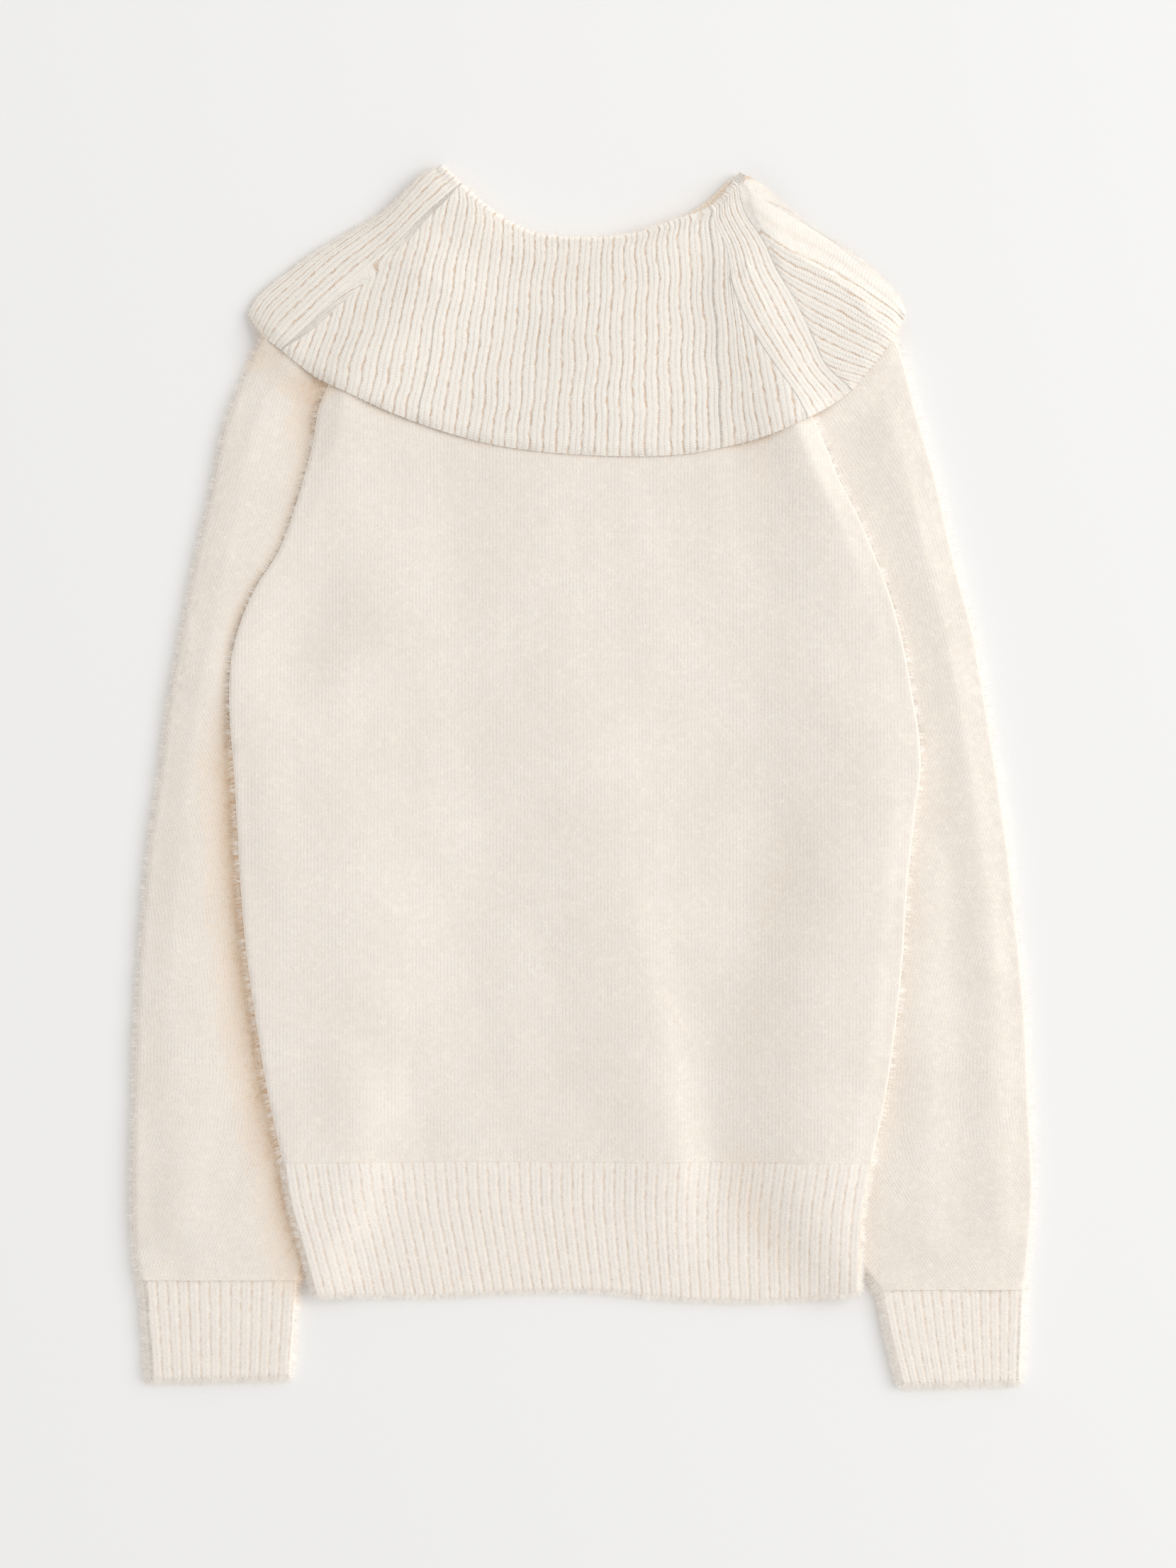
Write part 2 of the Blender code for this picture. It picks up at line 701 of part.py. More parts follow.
def cape_plan():
    """The front fold-over, from its left side fold to its right one, and its neckline columns."""
    sheet = RibSheet()
    neck_left = nearest_fraction(NECKLINE, LEFT_LINE["x"][0], LEFT_LINE["y"][0])
    neck_1 = nearest_fraction(NECKLINE, RIGHT_LINE_1["x"][0], RIGHT_LINE_1["y"][0])
    neck_2 = nearest_fraction(NECKLINE, RIGHT_LINE_2["x"][0], RIGHT_LINE_2["y"][0])
    free_left = nearest_fraction(FREE_EDGE, LEFT_LINE["x"][-1], LEFT_LINE["y"][-1])
    free_1 = nearest_fraction(FREE_EDGE, RIGHT_LINE_1["x"][-1], RIGHT_LINE_1["y"][-1])
    free_2 = nearest_fraction(FREE_EDGE, RIGHT_LINE_2["x"][-1], RIGHT_LINE_2["y"][-1])
    neck_ids = []

    # left band: half of its ribs start at the neckline and half on the side fold
    half = LEFT_BAND_RIBS
    starts = np.concatenate([np.linspace(LEFT_BAND_START, 0, half + 1)[:-1], np.zeros(half + 1)])
    tops = np.vstack([along(LEFT_FOLD, starts[:half]), part_of(NECKLINE, 0.0, neck_left, half + 1)])
    ends = part_of(FREE_EDGE, 0.0, free_left, 2 * half + 1)
    fold_line = part_of(LEFT_FOLD, LEFT_BAND_START, 1.0, LEFT_BAND_ROWS + 1)
    before = [sheet.point(place, 0) for place in fold_line]
    for k in range(1, 2 * half):
        share = min(1.0, 2 - k / half)
        guide = rest_of(LEFT_FOLD, starts[k])
        middle = (tops[k] + ends[k]) / 2
        aside = middle + LEFT_BAND_CLEAR * inward_normals(np.array([ends[k], tops[k]]))[0]
        ids = sheet.column(tops[k], ends[k], k % 2, LEFT_BAND_ROWS, None, guide, share, aside)
        sheet.columns.append((before, ids))
        before = ids
        if k >= half:
            neck_ids.append(ids[0])

    # line of added ribs on the left, then the ribs that start on it
    count = 2 * LEFT_LINE_RIBS
    line = part_of(LEFT_LINE, 0.0, 1.0, count + 1)
    line_ids = [sheet.point(place, k % 2) for k, place in enumerate(line)]
    sheet.columns.append((before, line_ids))
    neck_ids.append(line_ids[0])
    centre_ends = part_of(FREE_EDGE, free_left, free_1, 2 * (LEFT_LINE_RIBS + CENTRE_RIBS + RIGHT_LINE_RIBS) + 1)
    before = [line_ids[-1]]
    for k in range(1, count + 1):
        rows = max(1, round(CAPE_ROWS * k / count))
        ids = sheet.column(line[count - k], centre_ends[k], k % 2, rows, line_ids[count - k])
        sheet.columns.append((before, ids))
        before = ids

    # the middle, from the neckline to the free edge
    tops = part_of(NECKLINE, neck_left, neck_1, 2 * CENTRE_RIBS + 1)
    for k in range(1, 2 * CENTRE_RIBS):
        ids = sheet.column(tops[k], centre_ends[count + k], k % 2, CAPE_ROWS)
        sheet.columns.append((before, ids))
        neck_ids.append(ids[0])
        before = ids

    # first line on the right: ribs end against it from the left
    count_1 = 2 * RIGHT_LINE_RIBS
    line = part_of(RIGHT_LINE_1, 0.0, 1.0, count_1 + 1)
    line_ids = [sheet.point(place, k % 2) for k, place in enumerate(line)]
    neck_ids.append(line_ids[0])
    offset = count + 2 * CENTRE_RIBS
    for k in range(count_1):
        rows = max(1, round(CAPE_ROWS * (count_1 - k) / count_1))
        ids = sheet.column(line[k], centre_ends[offset + k], k % 2, rows, line_ids[k])
        sheet.columns.append((before, ids))
        before = ids
    sheet.columns.append((before, [line_ids[-1]]))
    before = line_ids

    # the band between the two lines
    tops = part_of(NECKLINE, neck_1, neck_2, 2 * RIGHT_BAND_RIBS + 1)
    ends = part_of(FREE_EDGE, free_1, free_2, 2 * RIGHT_BAND_RIBS + 1)
    line_1 = part_of(RIGHT_LINE_1, 0.0, 1.0, CAPE_ROWS + 3)
    line_2 = part_of(RIGHT_LINE_2, 0.0, 1.0, CAPE_ROWS + 3)
    for k in range(1, 2 * RIGHT_BAND_RIBS):
        f = k / (2 * RIGHT_BAND_RIBS)
        places = line_1 * (1 - f) + line_2 * f
        places[0], places[-1] = tops[k], ends[k]
        ids = [sheet.point(place, k % 2) for place in places]
        sheet.columns.append((before, ids))
        neck_ids.append(ids[0])
        before = ids

    # second line, and the wedge of ribs that run from it to the right corner
    count_2 = 2 * RIGHT_WEDGE_RIBS
    line = along(RIGHT_LINE_2, np.append(0.0, np.linspace(WEDGE_START, 1.0, count_2)))
    line_ids = [sheet.point(place, k % 2) for k, place in enumerate(line)]
    sheet.columns.append((before, line_ids))
    neck_ids.append(line_ids[0])
    ends = part_of(FREE_EDGE, free_2, 1.0, count_2 + 1)
    down = np.gradient(line, axis=0)
    down /= np.linalg.norm(down, axis=1)[:, None]
    before = [line_ids[-1]]
    for k in range(1, count_2):
        rows = max(1, round(CAPE_ROWS * k / count_2))
        first = count_2 - k
        share = (k / count_2) ** 3
        hook = HOOK * (1 - (k / count_2) ** 2) * np.linalg.norm(ends[k] - line[first])
        aside = line[first] + down[first] * hook
        ids = sheet.column(line[first], ends[k], k % 2, rows, line_ids[first], RIGHT_FOLD, share, aside)
        sheet.columns.append((before, ids))
        before = ids
    ids = [sheet.point(place, 0) for place in part_of(RIGHT_FOLD, 0.0, 1.0, CAPE_ROWS + 1)]
    sheet.columns.append(([line_ids[0], *before], ids))
    neck_ids.append(ids[0])
    return sheet, neck_ids


def inward_normals(line):
    """Directions across a line of plan points, to its right-hand side."""
    run = np.gradient(line, axis=0)
    across = np.column_stack([run[:, 1], -run[:, 0]])
    return across / np.linalg.norm(across, axis=1)[:, None]


def folded_collar(cape, neck_ids, stand_plan, stand_near, stand_far, outward):
    """Adds the neckline fold and the hidden stand to a fold-over.

    cape holds its outer and inner points and triangles. The stand's near face lies
    against the fold-over, and its far face is the one that faces the wearer.
    """
    outer, inner, triangles = cape
    count = stand_plan.shape[1]
    top = outer[neck_ids, 2], inner[neck_ids, 2]
    bottom = stand_far.reshape(-1, count)[0], stand_near.reshape(-1, count)[0]
    centre = stand_plan[0]
    outer_rows, inner_rows = [], []
    for angle in FOLD_ANGLES:
        for store, high, low, reach in (
            (outer_rows, top[0], bottom[0], RIB_WALL + FOLD_GAP / 2),
            (inner_rows, top[1], bottom[1], FOLD_GAP / 2),
        ):
            z = (high + low) / 2 + (high - low) / 2 * math.sin(angle)
            store.append(np.column_stack([centre + outward * reach * math.cos(angle), z]))
    for row in range(len(stand_plan)):
        outer_rows.append(np.column_stack([stand_plan[row], stand_far.reshape(-1, count)[row]]))
        inner_rows.append(np.column_stack([stand_plan[row], stand_near.reshape(-1, count)[row]]))
    start = len(outer)
    rows = len(outer_rows)
    ids = np.vstack([[neck_ids], start + np.arange(rows * count).reshape(rows, count)])
    strip = grid_triangles(rows + 1, count)
    return (
        np.vstack([outer, *outer_rows]),
        np.vstack([inner, *inner_rows]),
        np.vstack([triangles, ids.ravel()[strip]]),
    )


def stand_columns(neckline):
    """Plan of a collar stand, from under its fold to the neck seam, and the fold's direction."""
    across = inward_normals(neckline)
    top = neckline + across * (RIB_WALL + FOLD_GAP / 2)
    fractions = lengths(neckline) / lengths(neckline)[-1]
    seam = along(NECK_SEAM, fractions)
    steps = np.linspace(0, 1, STAND_ROWS + 1)[:, None, None]
    return top[None] * (1 - steps) + seam[None] * steps, -across


def back_collar():
    """Fold-over on the surface, fold and stand of the back half."""
    u = np.linspace(0, 1, COLLAR_COLUMNS)
    neckline = along(NECKLINE, u)
    neckline[:, 1] += curve(BACK_NECKLINE_RISE["x"], BACK_NECKLINE_RISE["rise"], neckline[:, 0])
    stand_plan, outward = stand_columns(neckline)
    start = stand_plan[0]
    end = along(FREE_EDGE, u)
    v = np.linspace(0, 1, COLLAR_ROWS)
    plan = start[None] * (1 - v)[:, None, None] + end[None] * v[:, None, None]
    for side, line in ((0, LEFT_FOLD), (-1, RIGHT_FOLD)):
        bulge = along(line, v) - plan[:, side]
        bulge[0] = 0
        share = np.clip(1 - (u if side == 0 else 1 - u) * 3, 0, 1)
        plan = plan + bulge[:, None, :] * share[None, :, None]
    triangles = grid_triangles(COLLAR_ROWS, COLLAR_COLUMNS)[:, ::-1]
    low, high = layer(plan, np.zeros(plan.shape[:2]), RIB_WALL, edge_distance(plan), face_up=False)
    cape = flat_points(low), flat_points(high), triangles
    cape_top = flat_points(high), triangles
    stand_triangles = grid_triangles(len(stand_plan), COLLAR_COLUMNS)
    under = rest_on([cape_top], stand_plan.reshape(-1, 2), stand_triangles, STAND_REACH)
    sheet = folded_collar(cape, np.arange(COLLAR_COLUMNS), stand_plan, under, under + RIB_WALL, outward)
    stand_top = np.column_stack([stand_plan.reshape(-1, 2), under + RIB_WALL]), stand_triangles
    return sheet, cape_top, stand_top


def front_collar(back_stand_top, beneath):
    """Ribbed fold-over, fold and stand of the front half."""
    sheet, neck_ids = cape_plan()
    plan = np.array(sheet.points)
    neckline = plan[neck_ids]
    stand_plan, outward = stand_columns(neckline)
    plan[neck_ids] = stand_plan[0]
    sheet.points = list(plan)
    triangles = sheet.triangles()
    count = len(neck_ids)
    stand_triangles = grid_triangles(len(stand_plan), count)
    under = rest_on([back_stand_top], stand_plan.reshape(-1, 2), stand_triangles, STAND_REACH)
    stand_top = np.column_stack([stand_plan.reshape(-1, 2), under + RIB_WALL]), stand_triangles
    cape_under = rest_on([*beneath, stand_top], plan, triangles, CAPE_REACH)
    edges = np.vstack([part_of(fold, 0.0, 1.0, NECK_STEP) for fold in (LEFT_FOLD, RIGHT_FOLD)])
    to_edge = np.linalg.norm(plan[:, None] - edges[None], axis=2).min(axis=1)
    thick = RIB_WALL * rim(to_edge, RIB_WALL) + np.array(sheet.ridge) * RIB_RISE
    inner = np.column_stack([plan, cape_under])
    outer = np.column_stack([plan, cape_under + thick])
    cape = outer, inner, triangles
    return folded_collar(cape, neck_ids, stand_plan, under + RIB_WALL, under, outward)


def hem(beneath, face_up, ribs):
    """One face of the deep rib hem."""
    middle = np.linspace(HEM_EDGE, 1 - HEM_EDGE, 2 * ribs + 1)
    across = np.concatenate([[0.0], middle, [1.0]])
    plan = []
    for f in np.linspace(0, 1, HEM_ROWS):
        y_mean = HEM_TOP - SEAM + (HEM_BOTTOM["y"].mean() - HEM_TOP) * f
        left = curve(BODY["y"], BODY["left"], y_mean)
        right = curve(BODY["y"], BODY["right"], y_mean)
        x = left + (right - left) * across
        bottom = curve(HEM_BOTTOM["x"], HEM_BOTTOM["y"], x)
        plan.append(np.column_stack([x, HEM_TOP - SEAM + (bottom - HEM_TOP) * f]))
    plan = np.array(plan)[::-1]
    triangles = grid_triangles(HEM_ROWS, plan.shape[1])
    under = rest_on(beneath, plan.reshape(-1, 2), triangles, BODY_REACH, LOFT if face_up else 0.0)
    rise = np.zeros(plan.shape[:2])
    if face_up:
        rise[:, 2:-1:2] = RIB_RISE
    low, high = layer(plan, under, RIB_WALL, edge_distance(plan), face_up, rise)
    return low, high, triangles


def body_edges(left_seam, right_seam):
    """Edge functions of the front panel, and of the back panel between the raglan seams."""
    def front_left(y):
        return curve(BODY["y"], BODY["left"], y)

    def front_right(y):
        return curve(BODY["y"], BODY["right"], y)

    def back_edge(y, seam_line, front_edge, side):
        seam = np.interp(max(y, ARMPIT), seam_line[:, 1], seam_line[:, 0]) - side * HIDDEN_SEAM
        share = np.clip((y - UNDERARM_START) / (UNDERARM_END - UNDERARM_START), 0, 1)
        share = share * share * (3 - 2 * share)
        return front_edge(min(y, ARMPIT)) * (1 - share) + seam * share

    def back_left(y):
        return back_edge(y, left_seam, front_left, -1)

    def back_right(y):
        return back_edge(y, right_seam, front_right, 1)

    return front_left, front_right, back_left, back_right


def main():
    for old in list(bpy.data.objects):
        bpy.data.objects.remove(old)

    jersey = material("brushed cream jersey", "f1ebe2", 0.95)
    sleeve_knit = material("brushed cream sleeve jersey", "eee6dc", 0.95)
    rib = material("cream rib", "ece4d8", 0.9)
    collar_rib = material("cream collar rib", "ede5d8", 0.85)

    back_sheet, cape_top, back_stand_top = back_collar()
    left = rolled(LEFT_SLEEVE, [cape_top], SLEEVE_ROWS, SLEEVE_COLUMNS, JERSEY, LEFT_SLEEVE_RIDGES)
    right = rolled(RIGHT_SLEEVE, [cape_top], SLEEVE_ROWS, SLEEVE_COLUMNS, JERSEY, RIGHT_SLEEVE_RIDGES)
    left_cuff = rolled(LEFT_CUFF, [], CUFF_ROWS, CUFF_COLUMNS, RIB_WALL, None, CUFF_RIBS, "inner")
    right_cuff = rolled(RIGHT_CUFF, [], CUFF_ROWS, CUFF_COLUMNS, RIB_WALL, None, CUFF_RIBS, "inner")

    front_left, front_right, back_left, back_right = body_edges(left["back_edge"], right["back_edge"])
    layers = [left["front_top"], left["back_top"], right["front_top"], right["back_top"]]
    tubes = [below(sleeve, TUBE_TOP) for sleeve in layers]
    plan = panel_plan(HEM_TOP, BACK_TOP, back_left, back_right, BACK_ROWS, BACK_COLUMNS)
    triangles = grid_triangles(*plan.shape[:2])
    under = rest_on([cape_top, *tubes], plan.reshape(-1, 2), triangles, BODY_REACH)
    back_low, back_high = layer(plan, under, JERSEY, edge_distance(plan), face_up=False)
    back_top = flat_points(back_high), triangles
    solid("back_panel", flat_points(back_low), flat_points(back_high), triangles, jersey)

    plan = panel_plan(HEM_TOP, FRONT_TOP, front_left, front_right, FRONT_ROWS, FRONT_COLUMNS)
    triangles = grid_triangles(*plan.shape[:2])
    beneath = [back_top, *layers]
    to_edge = edge_distance(plan)
    fade = np.clip(to_edge / EDGE_FADE, 0, 1)
    loft = LOFT + ridges(FRONT_RIDGES, plan[..., 0], plan[..., 1]) * fade
    under = rest_on(beneath, plan.reshape(-1, 2), triangles, BODY_REACH, loft.ravel())
    front_low, front_high = layer(plan, under, JERSEY, to_edge, face_up=True)
    front_top = flat_points(front_high), triangles
    solid("front_panel", flat_points(front_high), flat_points(front_low), triangles, jersey)

    cuffs = [left_cuff["front_top"], right_cuff["front_top"]]
    low, high, triangles = hem([*tubes, *cuffs], False, HIDDEN_RIBS)
    solid("back_hem", flat_points(low), flat_points(high), triangles, rib)
    back_hem_top = flat_points(high), triangles
    low, high, triangles = hem([back_hem_top, *tubes], True, HEM_RIBS)
    solid("front_hem", flat_points(high), flat_points(low), triangles, rib)

    for name, piece, finish in (
        ("left_sleeve", left, sleeve_knit),
        ("right_sleeve", right, sleeve_knit),
        ("left_cuff", left_cuff, rib),
        ("right_cuff", right_cuff, rib),
    ):
        solid(name, piece["outer"], piece["inner"], piece["triangles"], finish)

    solid("back_collar", *back_sheet, collar_rib)
    under_cape = [*beneath, front_top, cape_top, back_stand_top]
    solid("front_collar", *front_collar(back_stand_top, under_cape), collar_rib)


main()
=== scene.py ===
import math

import bpy
import numpy as np
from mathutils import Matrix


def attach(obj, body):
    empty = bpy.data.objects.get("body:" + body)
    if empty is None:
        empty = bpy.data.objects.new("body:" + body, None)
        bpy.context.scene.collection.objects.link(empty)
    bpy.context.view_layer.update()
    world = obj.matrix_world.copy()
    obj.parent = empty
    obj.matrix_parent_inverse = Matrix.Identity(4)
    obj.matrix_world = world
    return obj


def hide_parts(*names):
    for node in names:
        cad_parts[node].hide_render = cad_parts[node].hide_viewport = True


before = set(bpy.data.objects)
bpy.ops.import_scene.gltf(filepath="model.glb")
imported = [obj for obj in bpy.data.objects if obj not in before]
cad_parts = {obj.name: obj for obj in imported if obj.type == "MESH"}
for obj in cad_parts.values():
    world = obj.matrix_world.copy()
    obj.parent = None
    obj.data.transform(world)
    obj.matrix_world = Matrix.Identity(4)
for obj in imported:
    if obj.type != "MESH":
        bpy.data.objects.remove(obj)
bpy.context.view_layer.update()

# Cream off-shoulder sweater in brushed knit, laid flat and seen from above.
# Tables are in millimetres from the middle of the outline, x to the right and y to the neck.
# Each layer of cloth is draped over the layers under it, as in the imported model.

mm = 0.001
rng = np.random.default_rng(11)

cloth = {
    "jersey": 4.0,       # brushed jersey wall
    "ribWall": 3.2,      # rib wall in a groove
    "seam": 0.3,         # space kept between two layers
    "foldGap": 0.7,      # space inside a folded edge
    "edgeRound": 1.8,    # how far in a jersey edge is rounded
    "waleMm": 2.2,       # jersey stitch across
    "courseMm": 1.5,     # jersey stitch along
}


def table(columns, *rows):
    return {name: np.array(values, float) for name, values in zip(columns.split(), zip(*rows))}


# curves and grids

def curve(keys, values, at):
    # smooth curve through the rows of a table
    at = np.asarray(at, float)
    order = np.argsort(keys)
    keys, values = keys[order], values[order]
    slopes = np.gradient(values, keys)
    row = np.clip(np.searchsorted(keys, at) - 1, 0, len(keys) - 2)
    span = keys[row + 1] - keys[row]
    f = np.clip((at - keys[row]) / span, 0, 1)
    start = values[row] * (1 + 2 * f) + slopes[row] * span * f
    end = values[row + 1] * (3 - 2 * f) + slopes[row + 1] * span * (f - 1)
    return start * (1 - f) ** 2 + end * f**2


def lengths(points):
    steps = np.linalg.norm(np.diff(points, axis=0), axis=1)
    return np.concatenate([[0.0], np.cumsum(steps)])


def along(line, fractions):
    points = np.column_stack([line["x"], line["y"]])
    run = lengths(points)
    at = np.asarray(fractions) * run[-1]
    return np.column_stack([curve(run, points[:, 0], at), curve(run, points[:, 1], at)])


def partOf(line, start, end, count):
    return along(line, np.linspace(start, end, count))


def restOf(line, fraction):
    points = partOf(line, fraction, 1.0, 60)
    return {"x": points[:, 0], "y": points[:, 1]}


def nearestFraction(line, x, y):
    fractions = np.linspace(0, 1, 800)
    spots = along(line, fractions)
    return fractions[np.argmin((spots[:, 0] - x) ** 2 + (spots[:, 1] - y) ** 2)]


def gridTriangles(rows, columns):
    first = (np.arange(rows - 1)[:, None] * columns + np.arange(columns - 1)).ravel()
    lower = np.column_stack([first, first + 1, first + columns + 1])
    upper = np.column_stack([first, first + columns + 1, first + columns])
    return np.vstack([lower, upper])


def flat(grid):
    return grid.reshape(-1, grid.shape[-1])


# draping: the height of what lies beneath, kept on a square grid of cells

drapeGrid = {
    "cell": 2.0,         # side of a cell
    "x": 320.0,          # half of the grid's width
    "y": 410.0,          # half of its depth
}


def latticeWeights(steps):
    weights = [(i, j, steps - i - j) for i in range(steps + 1) for j in range(steps + 1 - i)]
    return np.array(weights, float) / steps


def gridSize():
    return tuple(int(2 * drapeGrid[side] / drapeGrid["cell"]) for side in "xy")


def cellOf(x, y):
    across, down = gridSize()
    i = np.clip(((x + drapeGrid["x"]) / drapeGrid["cell"]).astype(int), 0, across - 1)
    j = np.clip(((y + drapeGrid["y"]) / drapeGrid["cell"]).astype(int), 0, down - 1)
    return i, j


def neighbours(heights, reach, useMax):
    n = max(1, round(reach / drapeGrid["cell"]))
    moved = [
        np.roll(heights, (i, j), (0, 1))
        for i in range(-n, n + 1)
        for j in range(-n, n + 1)
        if i * i + j * j <= n * n
    ]
    return np.max(moved, axis=0) if useMax else np.mean(moved, axis=0)


def heap(surfaces):
    top = np.zeros(gridSize())
    weights = latticeWeights(3)
    for points, triangles in surfaces:
        spots = np.einsum("kw,twc->tkc", weights, points[triangles]).reshape(-1, 3)
        i, j = cellOf(spots[:, 0], spots[:, 1])
        np.maximum.at(top, (i, j), spots[:, 2])
    return top


def sampled(heights, x, y):
    u = np.clip((x + drapeGrid["x"]) / drapeGrid["cell"] - 0.5, 0, heights.shape[0] - 1.001)
    v = np.clip((y + drapeGrid["y"]) / drapeGrid["cell"] - 0.5, 0, heights.shape[1] - 1.001)
    i, j = u.astype(int), v.astype(int)
    f, g = u - i, v - j
    low = heights[i, j] * (1 - f) + heights[i + 1, j] * f
    high = heights[i, j + 1] * (1 - f) + heights[i + 1, j + 1] * f
    return low * (1 - g) + high * g


def restOn(surfaces, plan, reach, lift=0.0, soften=4.0):
    # underside heights of cloth that drapes over some surfaces
    top = heap(surfaces)
    cover = neighbours(neighbours(top, reach, True), reach, False)
    cover = neighbours(cover, soften, False)
    z = np.maximum(sampled(cover, plan[:, 0], plan[:, 1]), sampled(top, plan[:, 0], plan[:, 1]))
    return np.where(z > 0.01, z + cloth["seam"], 0.0) + lift


foldFall = 1.4       # how fast a fold falls away at its side
foldTurn = 6.0       # over how many mm the left side's width becomes the right side's
edgeLeast = 0.985    # share of a rounded edge's depth at which its cut side starts


def ridges(folds, x, y):
    # the folds add up softly, so that where two meet there is no crease
    rise = np.zeros_like(x)
    for k in range(len(folds["x1"])):
        start = np.array([folds["x1"][k], folds["y1"][k]])
        run = np.array([folds["x2"][k], folds["y2"][k]]) - start
        f = np.clip(((x - start[0]) * run[0] + (y - start[1]) * run[1]) / (run @ run), 0, 1)
        dx, dy = x - start[0] - f * run[0], y - start[1] - f * run[1]
        blendSide = 0.5 + 0.5 * np.tanh(dx / foldTurn)
        side = folds["leftWidth"][k] * (1 - blendSide) + folds["rightWidth"][k] * blendSide
        rise += (folds["height"][k] * np.exp(-foldFall * (dx**2 + dy**2) / side**2)) ** 3
    return np.cbrt(rise)


def softNoise(x, y, scale, seed):
    # smooth uneven height, about -1 to 1, from a few sine waves
    draw = np.random.default_rng(seed)
    waves, usualHeight = 10, 4.5
    total = np.zeros_like(x)
    for _ in range(waves):
        angle = draw.uniform(0, math.pi)
        wave = scale * draw.uniform(0.7, 1.6)
        phase = draw.uniform(0, 2 * math.pi)
        total += np.sin((x * math.cos(angle) + y * math.sin(angle)) * 2 * math.pi / wave + phase)
    return total / usualHeight


def rim(distance, wall):
    # share of the wall that is left at a distance from a rounded edge
    f = np.clip(1 - distance / wall, 0, edgeLeast)
    return np.sqrt(1 - f**2)


nearEdge = np.array([0.0, 0.15, 0.45, 0.95, 1.8, 4.5, 9.0])     # columns beside a jersey edge
edgeZone = 13.0                                                  # where the even columns start


def edgeSteps(width, inner):
    near = nearEdge
    middle = np.linspace(edgeZone, width - edgeZone, inner)
    return np.concatenate([near, middle, width - near[::-1]]) / width


def ribShape(phase):
    # a broad, gently rounded rib with a narrow groove on each side
    fromGroove = np.abs(phase - np.round(phase))
    return np.interp(fromGroove, [0.0, 0.125, 0.25, 0.375, 0.5], [0.0, 0.72, 0.93, 0.99, 1.0])


# node trees

def srgb(hexColour):
    channels = [int(hexColour[i:i + 2], 16) / 255 for i in (0, 2, 4)]
    linear = [c / 12.92 if c < 0.04045 else ((c + 0.055) / 1.055) ** 2.4 for c in channels]
    return (*linear, 1.0)


def addNode(tree, kind, settings=None, links=None):
    node = tree.nodes.new(kind)
    for key, value in (settings or {}).items():
        if isinstance(key, int) or key in node.inputs:
            node.inputs[key].default_value = value
        else:
            setattr(node, key, value)
    for key, source in (links or {}).items():
        output = source.outputs[0] if isinstance(source, bpy.types.Node) else source
        tree.links.new(output, node.inputs[key])
    return node


knitPattern = {              # millimetres
    "nap": 1.1,              # fibre clumps, drawn coarser than real fibres so that they show
    "tufts": 4.8,
    "patches": 18.0,         # where the nap is thin and stitches show
    "clouds": 55.0,
    "grooveWander": 7.1,
    "grooveClosed": 3.1,
    "fibreMottle": 8.3,
    "bumpDepth": 0.6,
}
paintedShadeColour = "ecd2b4"         # painted shade: a darker warm beige for cloth in the shadow of higher cloth
# pit and groove colours are painted shade in the knit's recesses: the low spots between loops, and the
# grooves between ribs
looks = {
    "brushedJersey": {
        # the share after the colours sets how strongly the painted shadow beside higher cloth shows
        "yarn": "efe9e2", "pitShadeColour": "e4dacf", "cloud": "e2d8ce", "paintedShadeShare": 0.7,
        "wale": cloth["waleMm"], "course": cloth["courseMm"], "stitchLow": 0.12, "stitchHigh": 0.4,
        "nap": 0.9, "tufts": 0.5, "bump": 0.55, "pitShadeFrom": 0.4, "pitShadeTo": 1.0,
        "roughness": 0.95, "sheen": 0.2, "rib": 0,
    },
    "brushedRib": {
        "yarn": "f0ece7", "pitShadeColour": "e6ddd4", "cloud": "e8e1d9", "paintedShadeShare": 0.7,
        "wale": 3.2, "course": 1.6, "stitchLow": 0.2, "stitchHigh": 0.5,
        "nap": 0.8, "tufts": 0.4, "bump": 0.6, "pitShadeFrom": 0.3, "pitShadeTo": 1.0,
        "roughness": 0.93, "sheen": 0.2, "rib": 6.4, "groove": "e2d2c3", "grooveWidth": 0.2,
    },
    "collarRib": {
        "yarn": "f3f0ea", "pitShadeColour": "e7ddd2", "cloud": "ebe4db", "paintedShadeShare": 0.7,
        "wale": 3.5, "course": 1.6, "stitchLow": 0.35, "stitchHigh": 0.7,
        "nap": 0.8, "tufts": 0.4, "bump": 0.7, "pitShadeFrom": 0.3, "pitShadeTo": 1.1,
        "roughness": 0.9, "sheen": 0.15, "rib": 7.0, "groove": "d8c1ac", "grooveWidth": 0.14,
    },
}


def noiseScale(name):
    return 1 / (knitPattern[name] * mm)


def paintedGlowAtEdges(made, shader, tone):
    # painted glow: the cloth gives off light, as emission in its own colour, where it turns down at an edge
    tree = made.node_tree
    made.cycles.emission_sampling = "NONE"
    edge = addNode(tree, "ShaderNodeAttribute", {"attribute_name": "edge"})
    share = addNode(tree, "ShaderNodeMath", {"operation": "MULTIPLY", 1: 0.3}, {0: edge.outputs["Fac"]})
    tree.links.new(tone.outputs[2], shader.inputs["Emission Color"])
    tree.links.new(share.outputs[0], shader.inputs["Emission Strength"])


def paintShadeWhereSunk(tree, tone, paintedShadeShare):
    # painted shade: where a higher layer stands towards the window, the colour is mixed towards a darker warm
    # beige
    sunk = addNode(tree, "ShaderNodeAttribute", {"attribute_name": "sunk"})
    share = addNode(tree, "ShaderNodeMath", {"operation": "MULTIPLY", 1: paintedShadeShare}, {0: sunk.outputs["Fac"]})
    return addNode(
        tree, "ShaderNodeMix", {"data_type": "RGBA", 7: srgb(paintedShadeColour)}, {0: share, 6: tone.outputs[2]},
    )


